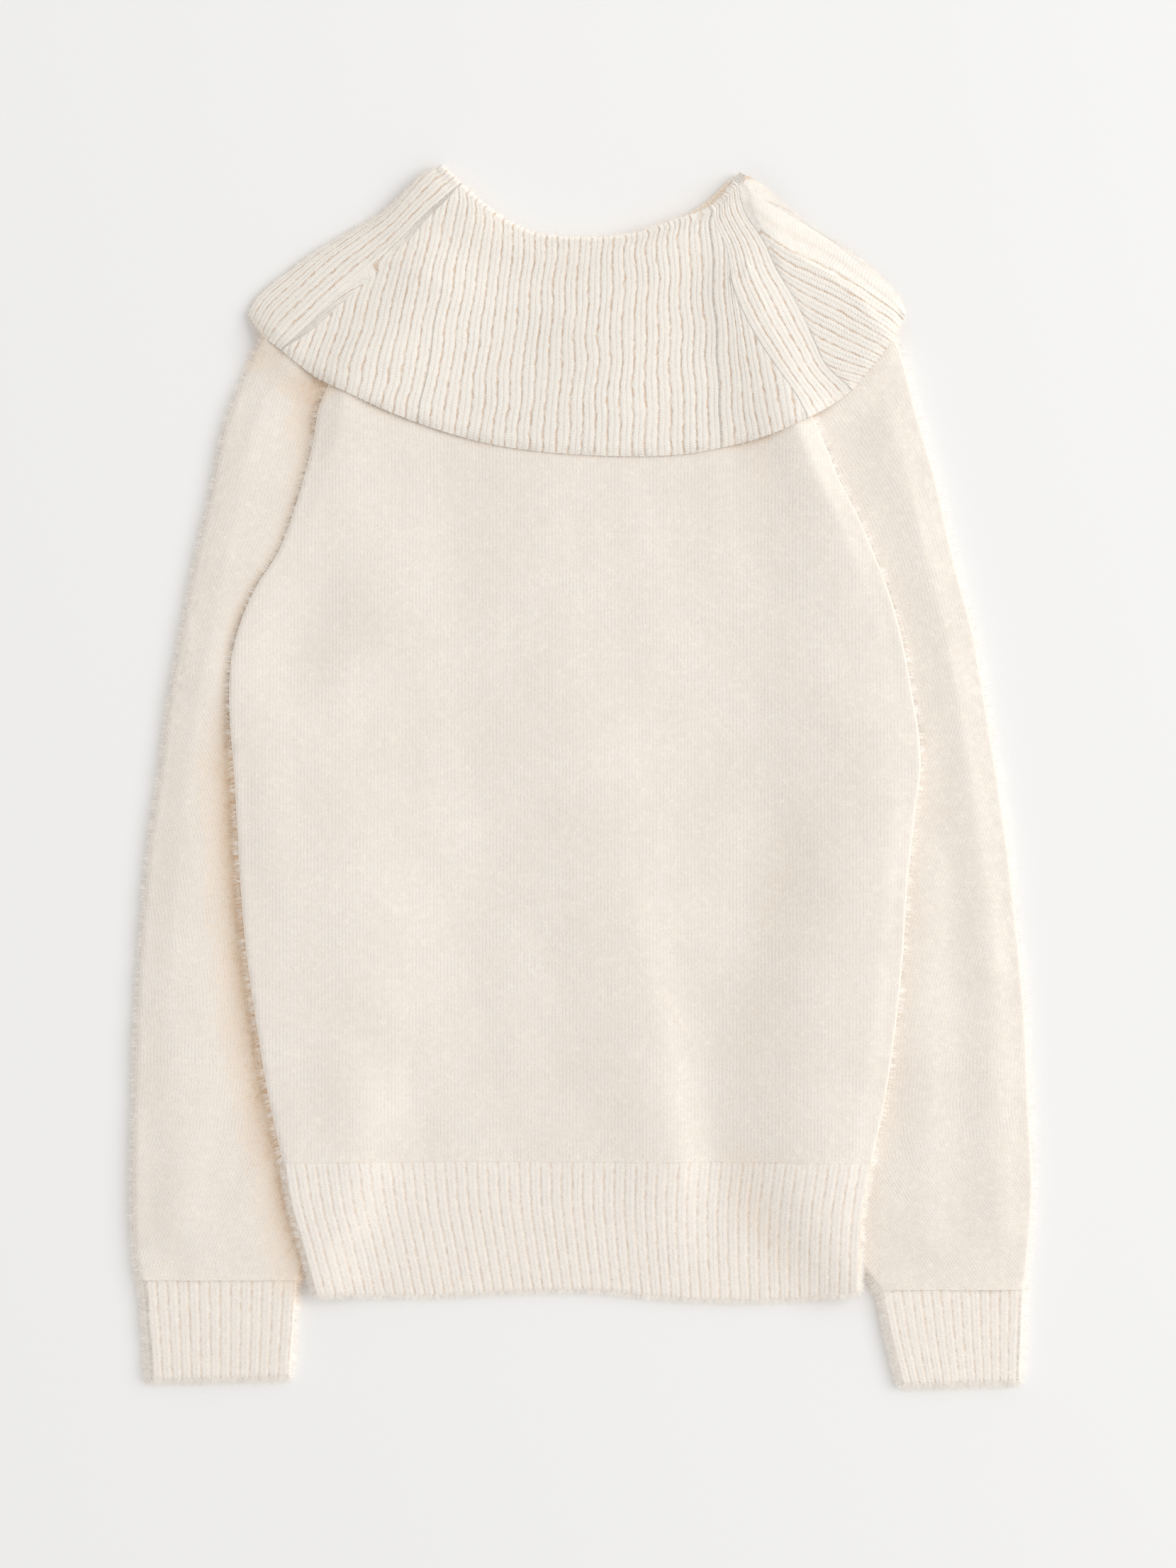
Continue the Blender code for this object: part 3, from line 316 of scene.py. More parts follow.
def knitMaterial(name):
    # brushed wool blend: loops in wales and courses, half hidden by a nap of fine fibre,
    # so the eye sees soft white cloth; the warmer specks between the loops are painted shade
    look = looks[name]
    made = bpy.data.materials.new(name)
    made.use_nodes = True
    tree = made.node_tree
    shader = tree.nodes["Principled BSDF"]
    uv = addNode(tree, "ShaderNodeUVMap", {"uv_map": "knit"})
    split = addNode(tree, "ShaderNodeSeparateXYZ", None, {0: uv})
    place = addNode(tree, "ShaderNodeTexCoord").outputs["Object"]

    # each loop leans out from the middle of its wale, which draws the V of a knit stitch
    wale, course = look["wale"] * mm, look["course"] * mm
    across = addNode(tree, "ShaderNodeMath", {"operation": "DIVIDE", 1: wale}, {0: split.outputs[0]})
    inWale = addNode(tree, "ShaderNodeMath", {"operation": "FRACT"}, {0: across})
    aside = addNode(tree, "ShaderNodeMath", {"operation": "SUBTRACT", 1: 0.5}, {0: inWale})
    fromMiddle = addNode(tree, "ShaderNodeMath", {"operation": "ABSOLUTE"}, {0: aside})
    down = addNode(tree, "ShaderNodeMath", {"operation": "DIVIDE", 1: course}, {0: split.outputs[1]})
    leaning = addNode(tree, "ShaderNodeMath", {"operation": "MULTIPLY_ADD", 1: 1.1}, {0: fromMiddle, 2: down})
    turns = addNode(tree, "ShaderNodeMath", {"operation": "MULTIPLY", 1: 2 * math.pi}, {0: leaning})
    loops = addNode(tree, "ShaderNodeMath", {"operation": "SINE"}, {0: turns})
    waleEdge = addNode(tree, "ShaderNodeMath", {"operation": "MULTIPLY", 1: 2.0}, {0: fromMiddle})
    waleSide = addNode(tree, "ShaderNodeMath", {"operation": "POWER", 1: 3.0}, {0: waleEdge})
    waleRound = addNode(tree, "ShaderNodeMath", {"operation": "SUBTRACT", 0: 0.5}, {1: waleSide})
    stitches = addNode(
        tree, "ShaderNodeMath", {"operation": "MULTIPLY_ADD", 1: 0.32}, {0: loops, 2: waleRound},
    )

    # the nap is stretched along the wales and lets the stitches show in patches
    combed = addNode(tree, "ShaderNodeMapping", {"Scale": (1.0, 0.45, 1.0)}, {0: uv})
    nap = addNode(
        tree, "ShaderNodeTexNoise",
        {"Scale": noiseScale("nap"), "Detail": 3.0, "Roughness": 0.62}, {"Vector": combed},
    )
    patches = addNode(
        tree, "ShaderNodeTexNoise", {"Scale": noiseScale("patches"), "Detail": 2.0}, {"Vector": uv},
    )
    showing = addNode(
        tree, "ShaderNodeMapRange",
        {"From Min": 0.35, "From Max": 0.65, "To Min": look["stitchLow"], "To Max": look["stitchHigh"]},
        {"Value": patches},
    )
    shown = addNode(tree, "ShaderNodeMath", {"operation": "MULTIPLY"}, {0: stitches, 1: showing})
    relief = addNode(
        tree, "ShaderNodeMath", {"operation": "MULTIPLY_ADD", 1: look["nap"]}, {0: nap, 2: shown},
    )
    tufts = addNode(
        tree, "ShaderNodeTexNoise",
        {"Scale": noiseScale("tufts"), "Detail": 2.0, "Roughness": 0.5}, {"Vector": place},
    )
    relief = addNode(
        tree, "ShaderNodeMath", {"operation": "MULTIPLY_ADD", 1: look["tufts"]}, {0: tufts, 2: relief},
    )

    # painted shade: where the stitch and nap relief is low, in the pits between loops, the colour is a darker
    # warmer beige
    pitShade = addNode(
        tree, "ShaderNodeMapRange",
        {"From Min": look["pitShadeFrom"], "From Max": look["pitShadeTo"]}, {"Value": relief},
    )
    tone = addNode(
        tree, "ShaderNodeMix",
        {"data_type": "RGBA", 6: srgb(look["pitShadeColour"]), 7: srgb(look["yarn"])}, {0: pitShade},
    )
    cloudy = addNode(
        tree, "ShaderNodeTexNoise", {"Scale": noiseScale("clouds"), "Detail": 2.0}, {"Vector": place},
    )
    shade = addNode(
        tree, "ShaderNodeMapRange", {"From Min": 0.3, "From Max": 0.7, "To Max": 0.4}, {"Value": cloudy},
    )
    tone = addNode(
        tree, "ShaderNodeMix",
        {"data_type": "RGBA", 7: srgb(look["cloud"])}, {0: shade, 6: tone.outputs[2]},
    )
    if look["rib"]:
        tone, relief = ribGroovesWithPaintedShade(tree, look, uv, split, tone, relief)

    # painted shadow where higher cloth stands towards the window
    tone = paintShadeWhereSunk(tree, tone, look["paintedShadeShare"])
    bump = addNode(
        tree, "ShaderNodeBump",
        {"Strength": look["bump"], "Distance": knitPattern["bumpDepth"] * mm}, {"Height": relief},
    )
    # painted glow where the cloth turns down at an edge
    paintedGlowAtEdges(made, shader, tone)
    tree.links.new(tone.outputs[2], shader.inputs["Base Color"])
    tree.links.new(bump.outputs[0], shader.inputs["Normal"])
    shader.inputs["Roughness"].default_value = look["roughness"]
    shader.inputs["Metallic"].default_value = 0.0
    shader.inputs["IOR"].default_value = 1.45
    shader.inputs["Specular IOR Level"].default_value = 0.2
    shader.inputs["Sheen Weight"].default_value = look["sheen"]
    shader.inputs["Sheen Roughness"].default_value = 0.6
    shader.inputs["Sheen Tint"].default_value = srgb("fff6ea")
    return made


def ribGroovesWithPaintedShade(tree, look, uv, split, tone, relief):
    # a groove wavers, and the nap closes it in places; it is drawn as a thin line of painted shade in a
    # darker warm colour, with a slight dip in the bump
    wander = addNode(
        tree, "ShaderNodeTexNoise", {"Scale": noiseScale("grooveWander"), "Detail": 2.0}, {"Vector": uv},
    )
    wavering = addNode(
        tree, "ShaderNodeMapRange",
        {"From Min": 0.3, "From Max": 0.7, "To Min": 0.4, "To Max": 0.6}, {"Value": wander},
    )
    pitch = look["rib"] * mm
    ribs = addNode(tree, "ShaderNodeMath", {"operation": "DIVIDE", 1: pitch}, {0: split.outputs[0]})
    shifted = addNode(tree, "ShaderNodeMath", {"operation": "ADD"}, {0: ribs, 1: wavering})
    inRib = addNode(tree, "ShaderNodeMath", {"operation": "FRACT"}, {0: shifted})
    beside = addNode(tree, "ShaderNodeMath", {"operation": "SUBTRACT", 1: 0.5}, {0: inRib})
    fromGroove = addNode(tree, "ShaderNodeMath", {"operation": "ABSOLUTE"}, {0: beside})
    groove = addNode(
        tree, "ShaderNodeMapRange",
        {"interpolation_type": "SMOOTHSTEP", "From Min": look["grooveWidth"], "From Max": 0.02},
        {"Value": fromGroove},
    )
    stretched = addNode(tree, "ShaderNodeMapping", {"Scale": (1.0, 0.6, 1.0)}, {0: uv})
    closing = addNode(
        tree, "ShaderNodeTexNoise",
        {"Scale": noiseScale("grooveClosed"), "Detail": 2.0}, {"Vector": stretched},
    )
    open_ = addNode(
        tree, "ShaderNodeMapRange",
        {"From Min": 0.4, "From Max": 0.58, "To Min": 0.3, "To Max": 1.0}, {"Value": closing},
    )
    showing = addNode(tree, "ShaderNodeMath", {"operation": "MULTIPLY"}, {0: groove, 1: open_})
    tone = addNode(
        tree, "ShaderNodeMix",
        {"data_type": "RGBA", 7: srgb(look["groove"])}, {0: showing, 6: tone.outputs[2]},
    )
    relief = addNode(
        tree, "ShaderNodeMath", {"operation": "MULTIPLY_ADD", 1: -0.3}, {0: showing, 2: relief},
    )
    return tone, relief


def fibreMaterial(name, darker, paler):
    # loose wool fibre: pale, matt, and light passes through it
    made = bpy.data.materials.new(name)
    made.use_nodes = True
    tree = made.node_tree
    shader = tree.nodes["Principled BSDF"]
    place = addNode(tree, "ShaderNodeTexCoord").outputs["Object"]
    mottle = addNode(
        tree, "ShaderNodeTexNoise", {"Scale": noiseScale("fibreMottle"), "Detail": 1.0}, {"Vector": place},
    )
    tone = addNode(
        tree, "ShaderNodeMix", {"data_type": "RGBA", 6: srgb(darker), 7: srgb(paler)}, {0: mottle},
    )
    # painted shadow beside higher cloth
    tone = paintShadeWhereSunk(tree, tone, 0.6)
    # painted glow where fibres stand out at an edge
    paintedGlowAtEdges(made, shader, tone)
    tree.links.new(tone.outputs[2], shader.inputs["Base Color"])
    shader.inputs["Roughness"].default_value = 1.0
    shader.inputs["Specular IOR Level"].default_value = 0.1
    through = addNode(tree, "ShaderNodeBsdfTranslucent", None, {0: tone.outputs[2]})
    lit = addNode(tree, "ShaderNodeMixShader", {0: 0.5}, {1: shader, 2: through})
    # a blade stands for several fibres, with gaps between them
    clear = addNode(tree, "ShaderNodeBsdfTransparent")
    gaps = addNode(tree, "ShaderNodeMixShader", {0: 0.4}, {1: lit, 2: clear})
    tree.links.new(gaps.outputs[0], tree.nodes["Material Output"].inputs[0])
    return made


# meshes

# settings of the painted shade beside higher cloth
paintedShadeSettings = {
    "looksAt": (3.0, 6.0, 10.0, 14.0, 19.0, 25.0),      # distances towards the window
    "ignored": 1.0,      # height that shades nothing
    "deep": 4.0,         # height beside a point that puts it in deep shade
    "deepPerMm": 0.5,    # and what it grows by for each mm away
    "from": 0.3,
    "span": 0.8,
}
seamFuzz = {"extra": 3.0, "reach": 5.0}      # thicker nap over a seam, and how far it reaches


def facing(outer, inner, triangles):
    # triangles wound so that the outer face looks away from the inner one
    corners = outer[triangles]
    normal = np.cross(corners[:, 1] - corners[:, 0], corners[:, 2] - corners[:, 0])
    through = (outer - inner)[triangles].mean(axis=1)
    return triangles if np.einsum("ij,ij->", normal, through) > 0 else triangles[:, ::-1]


def sideways(outer, triangles):
    # 1 where the cloth turns down at an edge or a fold, 0 where it lies flat
    corners = outer[triangles]
    normal = np.cross(corners[:, 1] - corners[:, 0], corners[:, 2] - corners[:, 0])
    total = np.zeros_like(outer)
    for k in range(3):
        np.add.at(total, triangles[:, k], normal)
    return 1 - np.abs(total[:, 2]) / (np.linalg.norm(total, axis=1) + 1e-9)


def paintedShadeBeside(skyline, points):
    # how far higher cloth towards the window stands over each point, 0 to 1: the mask of the painted shade
    # there
    aside = np.array(studio["windowPlace"][:2])
    aside = aside / np.linalg.norm(aside)
    most = np.zeros(len(points))
    for away in paintedShadeSettings["looksAt"]:
        there = sampled(skyline, points[:, 0] + away * aside[0], points[:, 1] + away * aside[1])
        over = there - points[:, 2] - paintedShadeSettings["ignored"]
        most = np.maximum(most, over / (paintedShadeSettings["deep"] + paintedShadeSettings["deepPerMm"] * away))
    return np.clip((most - paintedShadeSettings["from"]) / paintedShadeSettings["span"], 0.0, 1.0)


def closedWall(name, outer, inner, triangles, uv, finish, skyline):
    count = len(outer)
    directed = np.vstack([triangles[:, [0, 1]], triangles[:, [1, 2]], triangles[:, [2, 0]]])
    code = directed[:, 0].astype(np.int64) * count + directed[:, 1]
    back = directed[:, 1].astype(np.int64) * count + directed[:, 0]
    open_ = directed[~np.isin(code, back)]
    a, b = open_[:, 0], open_[:, 1]
    sides = np.vstack([np.column_stack([b, a, a + count]), np.column_stack([b, a + count, b + count])])
    faces = np.vstack([triangles, triangles[:, ::-1] + count, sides])
    points = np.vstack([outer, inner]) * mm
    borders = np.sort(np.vstack([open_, open_ + count]), axis=1)
    marks = {
        # painted shade beside higher cloth
        "sunk": np.concatenate([paintedShadeBeside(skyline, outer), np.ones(len(inner))]),
        # painted glow where the cloth turns down at an edge
        "edge": np.concatenate([sideways(outer, triangles), np.zeros(len(inner))]),
    }
    return meshObject(name, points, faces, np.vstack([uv, uv]), finish, borders, marks)


def meshObject(name, points, faces, uv, finish, borders, marks):
    mesh = bpy.data.meshes.new(name)
    mesh.vertices.add(len(points))
    mesh.vertices.foreach_set("co", points.astype(np.float32).ravel())
    mesh.loops.add(faces.size)
    mesh.loops.foreach_set("vertex_index", faces.astype(np.int32).ravel())
    mesh.polygons.add(len(faces))
    mesh.polygons.foreach_set("loop_start", np.arange(0, faces.size, 3, dtype=np.int32))
    mesh.polygons.foreach_set("loop_total", np.full(len(faces), 3, dtype=np.int32))
    mesh.update(calc_edges=True)
    if uv is not None:
        layer = mesh.uv_layers.new(name="knit")
        layer.data.foreach_set("uv", (uv[faces.ravel()] * mm).astype(np.float32).ravel())
    if borders is not None:
        # shaded smooth, but for the corner between a face of the cloth and its cut side
        ends = np.empty(len(mesh.edges) * 2, dtype=np.int32)
        mesh.edges.foreach_get("vertices", ends)
        ends = np.sort(ends.reshape(-1, 2), axis=1).astype(np.int64)
        code = ends[:, 0] * len(points) + ends[:, 1]
        sharp = np.isin(code, borders[:, 0].astype(np.int64) * len(points) + borders[:, 1])
        mesh.shade_smooth()
        mesh.edges.foreach_set("use_edge_sharp", sharp)
    for mark, values in marks.items():
        mesh.attributes.new(mark, "FLOAT", "POINT").data.foreach_set("value", values.astype(np.float32))
    mesh.materials.append(finish)
    mesh.validate()
    piece = bpy.data.objects.new(name, mesh)
    bpy.context.scene.collection.objects.link(piece)
    return piece


def fuzzOn(name, outer, triangles, count, look, finish, skyline, seamY):
    # loose fibres on the outer face, in small tufts: each is a bent blade of two triangles
    corners = outer[triangles]
    normal = np.cross(corners[:, 1] - corners[:, 0], corners[:, 2] - corners[:, 0])
    area = np.linalg.norm(normal, axis=1) + 1e-9
    normal = normal / area[:, None]
    outwards = 1 - np.clip(normal[:, 2], 0.0, 1.0)
    share = area * np.clip(normal[:, 2] + 0.05, 0.0, 0.6) * (1 + look["fringe"] * outwards)
    # the nap is thick over the seam to a rib
    toSeam = corners[:, :, 1].mean(axis=1) - seamY
    share *= 1 + seamFuzz["extra"] * np.exp(-(toSeam / seamFuzz["reach"]) ** 2)
    perTuft, spread, strayed = 4, 0.5, 0.6
    tufts = count // perTuft
    picked = rng.choice(len(triangles), tufts, p=share / share.sum())
    a, b = rng.random(tufts), rng.random(tufts)
    flip = a + b > 1
    a[flip], b[flip] = 1 - a[flip], 1 - b[flip]
    weights = np.stack([1 - a - b, a, b], axis=1)[:, :, None]
    root = (corners[picked] * weights).sum(axis=1)
    lean = rng.normal(size=(tufts, 3)) + np.array(look["combed"])
    root, up, lean = (np.repeat(values, perTuft, axis=0) for values in (root, normal[picked], lean))
    count = len(root)
    lean = lean + rng.normal(size=(count, 3)) * strayed
    lean -= up * np.einsum("ij,ij->i", lean, up)[:, None]
    lean /= np.linalg.norm(lean, axis=1)[:, None]
    aside = 1 - np.clip(up[:, 2:], 0.0, 1.0)
    # at an edge the fibres are combed outwards
    lean += up * [1.0, 1.0, 0.0] * np.clip(aside * 6, 0.0, 2.2)
    lean /= np.linalg.norm(lean, axis=1)[:, None]
    rootDepth, overFloor = 0.2, 0.3
    across = np.cross(up, lean)
    across /= np.linalg.norm(across, axis=1)[:, None] + 1e-6
    root = root + across * rng.normal(size=(count, 1)) * spread - up * rootDepth
    length = rng.uniform(look["short"], look["long"], count)[:, None]
    lift = rng.uniform(look["liftLow"], look["liftHigh"], count)[:, None] * (1 - 0.6 * aside)
    middle = root + (lean * 0.5 + up * lift * 0.75) * length * 0.6
    tip = root + (lean * 0.95 + up * lift * 0.7 + across * rng.normal(size=(count, 1)) * 0.15) * length
    tip[:, 2] = np.maximum(tip[:, 2], overFloor)
    middle[:, 2] = np.maximum(middle[:, 2], overFloor)
    width = look["width"] / 2 * across
    points = np.stack([root, middle - width, middle + width, tip], axis=1)
    base = np.arange(count)[:, None] * 4
    # a tuft is lit from all round, so it takes the light of the cloth under it, turned to the sky
    glow = up * look["clothLight"] * (1 - aside) + np.array([0.0, 0.0, 1.0])
    glow /= np.linalg.norm(glow, axis=1)[:, None]
    facesOut = np.einsum("ij,ij->i", np.cross(middle - root, width), glow) > 0
    order = np.where(facesOut[:, None], [[0, 1, 2, 2, 1, 3]], [[0, 2, 1, 1, 2, 3]])
    faces = (base + order).reshape(-1, 3)
    # painted shade beside higher cloth, and a painted glow where fibres stand out at an edge
    marks = {"sunk": np.repeat(paintedShadeBeside(skyline, root), 4), "edge": np.repeat(aside[:, 0], 4)}
    fuzz = meshObject(name, points.reshape(-1, 3) * mm, faces, None, finish, None, marks)
    fuzz.data.normals_split_custom_set_from_vertices(np.repeat(glow, 4, axis=0).tolist())
    return fuzz


def layer(plan, under, wall, distance, faceUp, rise=0.0):
    under = under.reshape(plan.shape[:2])
    left = wall * rim(distance, cloth["edgeRound"])
    low = under if faceUp else under + wall - left
    high = under + left + rise if faceUp else under + wall
    return np.dstack([plan, low]), np.dstack([plan, high])


# body panels

body = {
    "hemTop": -243.9,
    "armpit": 44.0,
    "edges": table(
        "y left right",
        (-326, -170, 174.8),
        (-295, -178, 175.4),
        (-272, -184.5, 177.4),
        (-244, -189.5, 182.4),
        (-205, -198.0, 190.4),
        (-160, -205.5, 197.0),
        (-115, -212.0, 201.6),
        (-70, -216.0, 204.6),
        (-25, -218.5, 209.4),
        (7, -220.5, 213.0),
        (30, -222.5, 211.7),
        (52, -223.5, 208.0),
        (75, -222.0, 204.0),
        (97, -216.5, 199.0),
        (119, -207.0, 192.4),
        (142, -192.5, 183.4),
        (164, -184.0, 174.0),
        (187, -177.0, 162.2),
        (209, -171.0, 153.2),
        (235, -166.0, 141.5),
        (280, -138.0, 122.0),
        (325, -95.0, 104.0),
    ),
    "neckSeam": table(
        "x y",
        (-116, 348),
        (-98, 328),
        (-80, 314),
        (-55, 302),
        (-25, 294),
        (5, 291),
        (35, 293),
        (65, 301),
        (92, 316),
        (106, 329),
        (122, 346),
    ),
    # soft folds of the front: from one point to another, height, width to each side
    "folds": table(
        "x1 y1 x2 y2 height leftWidth rightWidth",
        (-24, 150, -4, 40, 2.2, 64, 60),
        (-4, 40, 28, -83, 4.6, 66, 50),
        (28, -83, 44, -160, 5.4, 66, 24),
        (44, -160, 60, -262, 5.6, 58, 20),
        (-146, 236, -132, 115, 4.0, 40, 46),
        (-132, 115, -118, -30, 4.0, 42, 50),
        (-118, -30, -108, -150, 3.0, 30, 44),
        (142, 220, 150, 133, 5.4, 36, 40),
        (150, 133, 162, 50, 5.0, 40, 40),
        (162, 50, 166, -60, 4.2, 50, 42),
        (166, -60, 158, -160, 4.4, 50, 40),
        (158, -160, 150, -262, 4.2, 44, 38),
    ),
    "columns": 110,
    "rows": 140,
    "fuzz": 84000,
}


def edgeDistance(plan):
    first = np.linalg.norm(plan - plan[:, :1], axis=2)
    last = np.linalg.norm(plan - plan[:, -1:], axis=2)
    return np.minimum(first, last)


def panelPlan(bottomY, topY, leftOf, rightOf, rows, inner):
    across = edgeSteps(400.0, inner)
    plan = []
    for f in np.linspace(0, 1, rows):
        edgeY = bottomY + (topY - bottomY) * f
        left, right = leftOf(edgeY), rightOf(edgeY)
        x = left + (right - left) * across
        seam = curve(body["neckSeam"]["x"], body["neckSeam"]["y"], x) - 1.0
        sunk = np.minimum(seam - topY, 0.0)
        plan.append(np.column_stack([x, edgeY + sunk * f**2.2]))
    return np.array(plan)


def bodyLoft(x, y):
    uneven = 0.9 * softNoise(x, y * 0.45, 55, 8)
    return 0.3 + ridges(body["folds"], x, y) + np.maximum(uneven, -0.2)


def frontLeft(y):
    return curve(body["edges"]["y"], body["edges"]["left"], y)


def frontRight(y):
    return curve(body["edges"]["y"], body["edges"]["right"], y)


def backEdge(y, seamLine, frontEdge, side):
    seam = np.interp(max(y, body["armpit"]), seamLine[:, 1], seamLine[:, 0]) - side * 1.0
    share = np.clip((y - body["armpit"] + 26) / 24, 0, 1)
    share = share * share * (3 - 2 * share)
    return frontEdge(min(y, body["armpit"])) * (1 - share) + seam * share


# sleeves and cuffs

leftSleeve = {
    "sections": table(
        "outerX outerY innerX innerY backX backY",
        (-119, 341, -84, 309, -86, 309),
        (-152, 321, -108, 286, -104, 284),
        (-178, 303, -132, 261, -122, 260),
        (-197, 284, -150, 238, -133, 238),
        (-212, 258, -156, 216, -140, 214),
        (-226, 222, -162, 190, -147, 188),
        (-235, 178, -170, 160, -153, 158),
        (-245.5, 133, -186, 124, -159, 122),
        (-254, 88, -205, 84, -163, 82),
        (-259, 62, -210, 60, -162, 60),
        (-262.5, 40, -192, 40, -162, 40),
        (-268, -2, -170, -2, -159, -2),
        (-274.5, -47, -156, -47, -156, -47),
        (-278.5, -92, -148, -92, -148, -92),
        (-281.5, -137, -142, -137, -142, -137),
        (-283.5, -182, -140, -182, -140, -182),
        (-284.6, -227, -145, -227, -145, -227),
        (-285.0, -265, -160, -265, -160, -265),
        (-284.0, -298, -174, -298, -174, -298),
        (-280.5, -319, -181, -319, -181, -319),
    ),
    "folds": table(
        "x1 y1 x2 y2 height leftWidth rightWidth",
        (-170, 280, -222, 200, 1.6, 18, 26),
        (-222, 200, -246, 60, 2.0, 20, 36),
        (-246, 60, -260, -120, 2.6, 22, 40),
        (-260, -120, -250, -280, 2.6, 24, 40),
    ),
    "fuzz": 46000,
}
rightSleeve = {
    "sections": table(
        "outerX outerY innerX innerY backX backY",
        (126, 340, 92, 311, 92, 311),
        (152, 324, 104, 286, 104, 286),
        (174, 309, 113, 262, 116, 262),
        (190, 291, 122, 240, 126, 240),
        (202, 266, 131, 214, 134, 214),
        (211.5, 230, 146, 188, 142, 188),
        (224, 187, 163, 160, 150, 158),
        (234, 142, 176, 124, 158, 122),
        (247, 93, 188, 84, 162, 82),
        (253, 60, 197, 60, 162, 60),
        (256.5, 38, 200, 38, 162, 38),
        (263, -2, 185, -2, 161, -2),
        (269.5, -47, 167, -47, 158, -47),
        (274.5, -92, 149, -92, 149, -92),
        (279.0, -137, 135, -137, 135, -137),
        (281.5, -182, 126, -182, 126, -182),
        (283.5, -227, 126, -227, 126, -227),
        (285.0, -262, 140, -262, 140, -262),
        (282.5, -298, 168, -298, 168, -298),
        (279.5, -325, 187, -325, 187, -325),
    ),
    "folds": table(
        "x1 y1 x2 y2 height leftWidth rightWidth",
        (196, 220, 238, 60, 3.0, 20, 20),
        (238, 60, 258, -120, 3.4, 20, 22),
        (258, -120, 262, -280, 3.2, 18, 22),
        (214, -60, 216, -290, 2.6, 18, 20),
    ),
    "fuzz": 46000,
}
leftCuff = {
    "sections": table(
        "outerX outerY innerX innerY",
        (-280.5, -319.1, -181.0, -319.1),
        (-278.0, -350, -183.0, -349.5),
        (-275.6, -384.0, -185.2, -381.5),
    ),
    "ribs": 14,
    "fuzz": 16000,
}
rightCuff = {
    "sections": table(
        "outerX outerY innerX innerY",
        (279.5, -325.1, 187.0, -325.1),
        (278.4, -355, 193.0, -355.5),
        (277.4, -384.5, 201.0, -387.0),
    ),
    "ribs": 14,
    "fuzz": 16000,
}


def sleeveSide(sections, end, rows, columns, radius, ribs, perRib):
    stations = np.linspace(0, 1, rows)
    keys = np.linspace(0, 1, len(sections["outerX"]))
    read = {name: curve(keys, values, stations) for name, values in sections.items()}
    outer = np.column_stack([read["outerX"], read["outerY"]])
    inner = np.column_stack([read[end + "X"], read[end + "Y"]])
    span = np.linalg.norm(inner - outer, axis=1)
    inward = (inner - outer) / span[:, None]
    near = np.array([0.0, 0.5, 1.2]) if ribs else nearEdge
    margin = 2.0 if ribs else edgeZone
    columns = perRib * ribs + 1 if ribs else columns
    middle = np.linspace(1, 0, columns)[None, :] * (span[:, None] - margin - radius) + radius
    distance = np.hstack([span[:, None] - near, middle])
    plan = outer[:, None, :] + inward[:, None, :] * distance[:, :, None]
    return plan, outer, inward, distance


foldAngles = np.radians([75, 55, 35, 12, -12, -35, -55, -75])       # steps round a folded edge


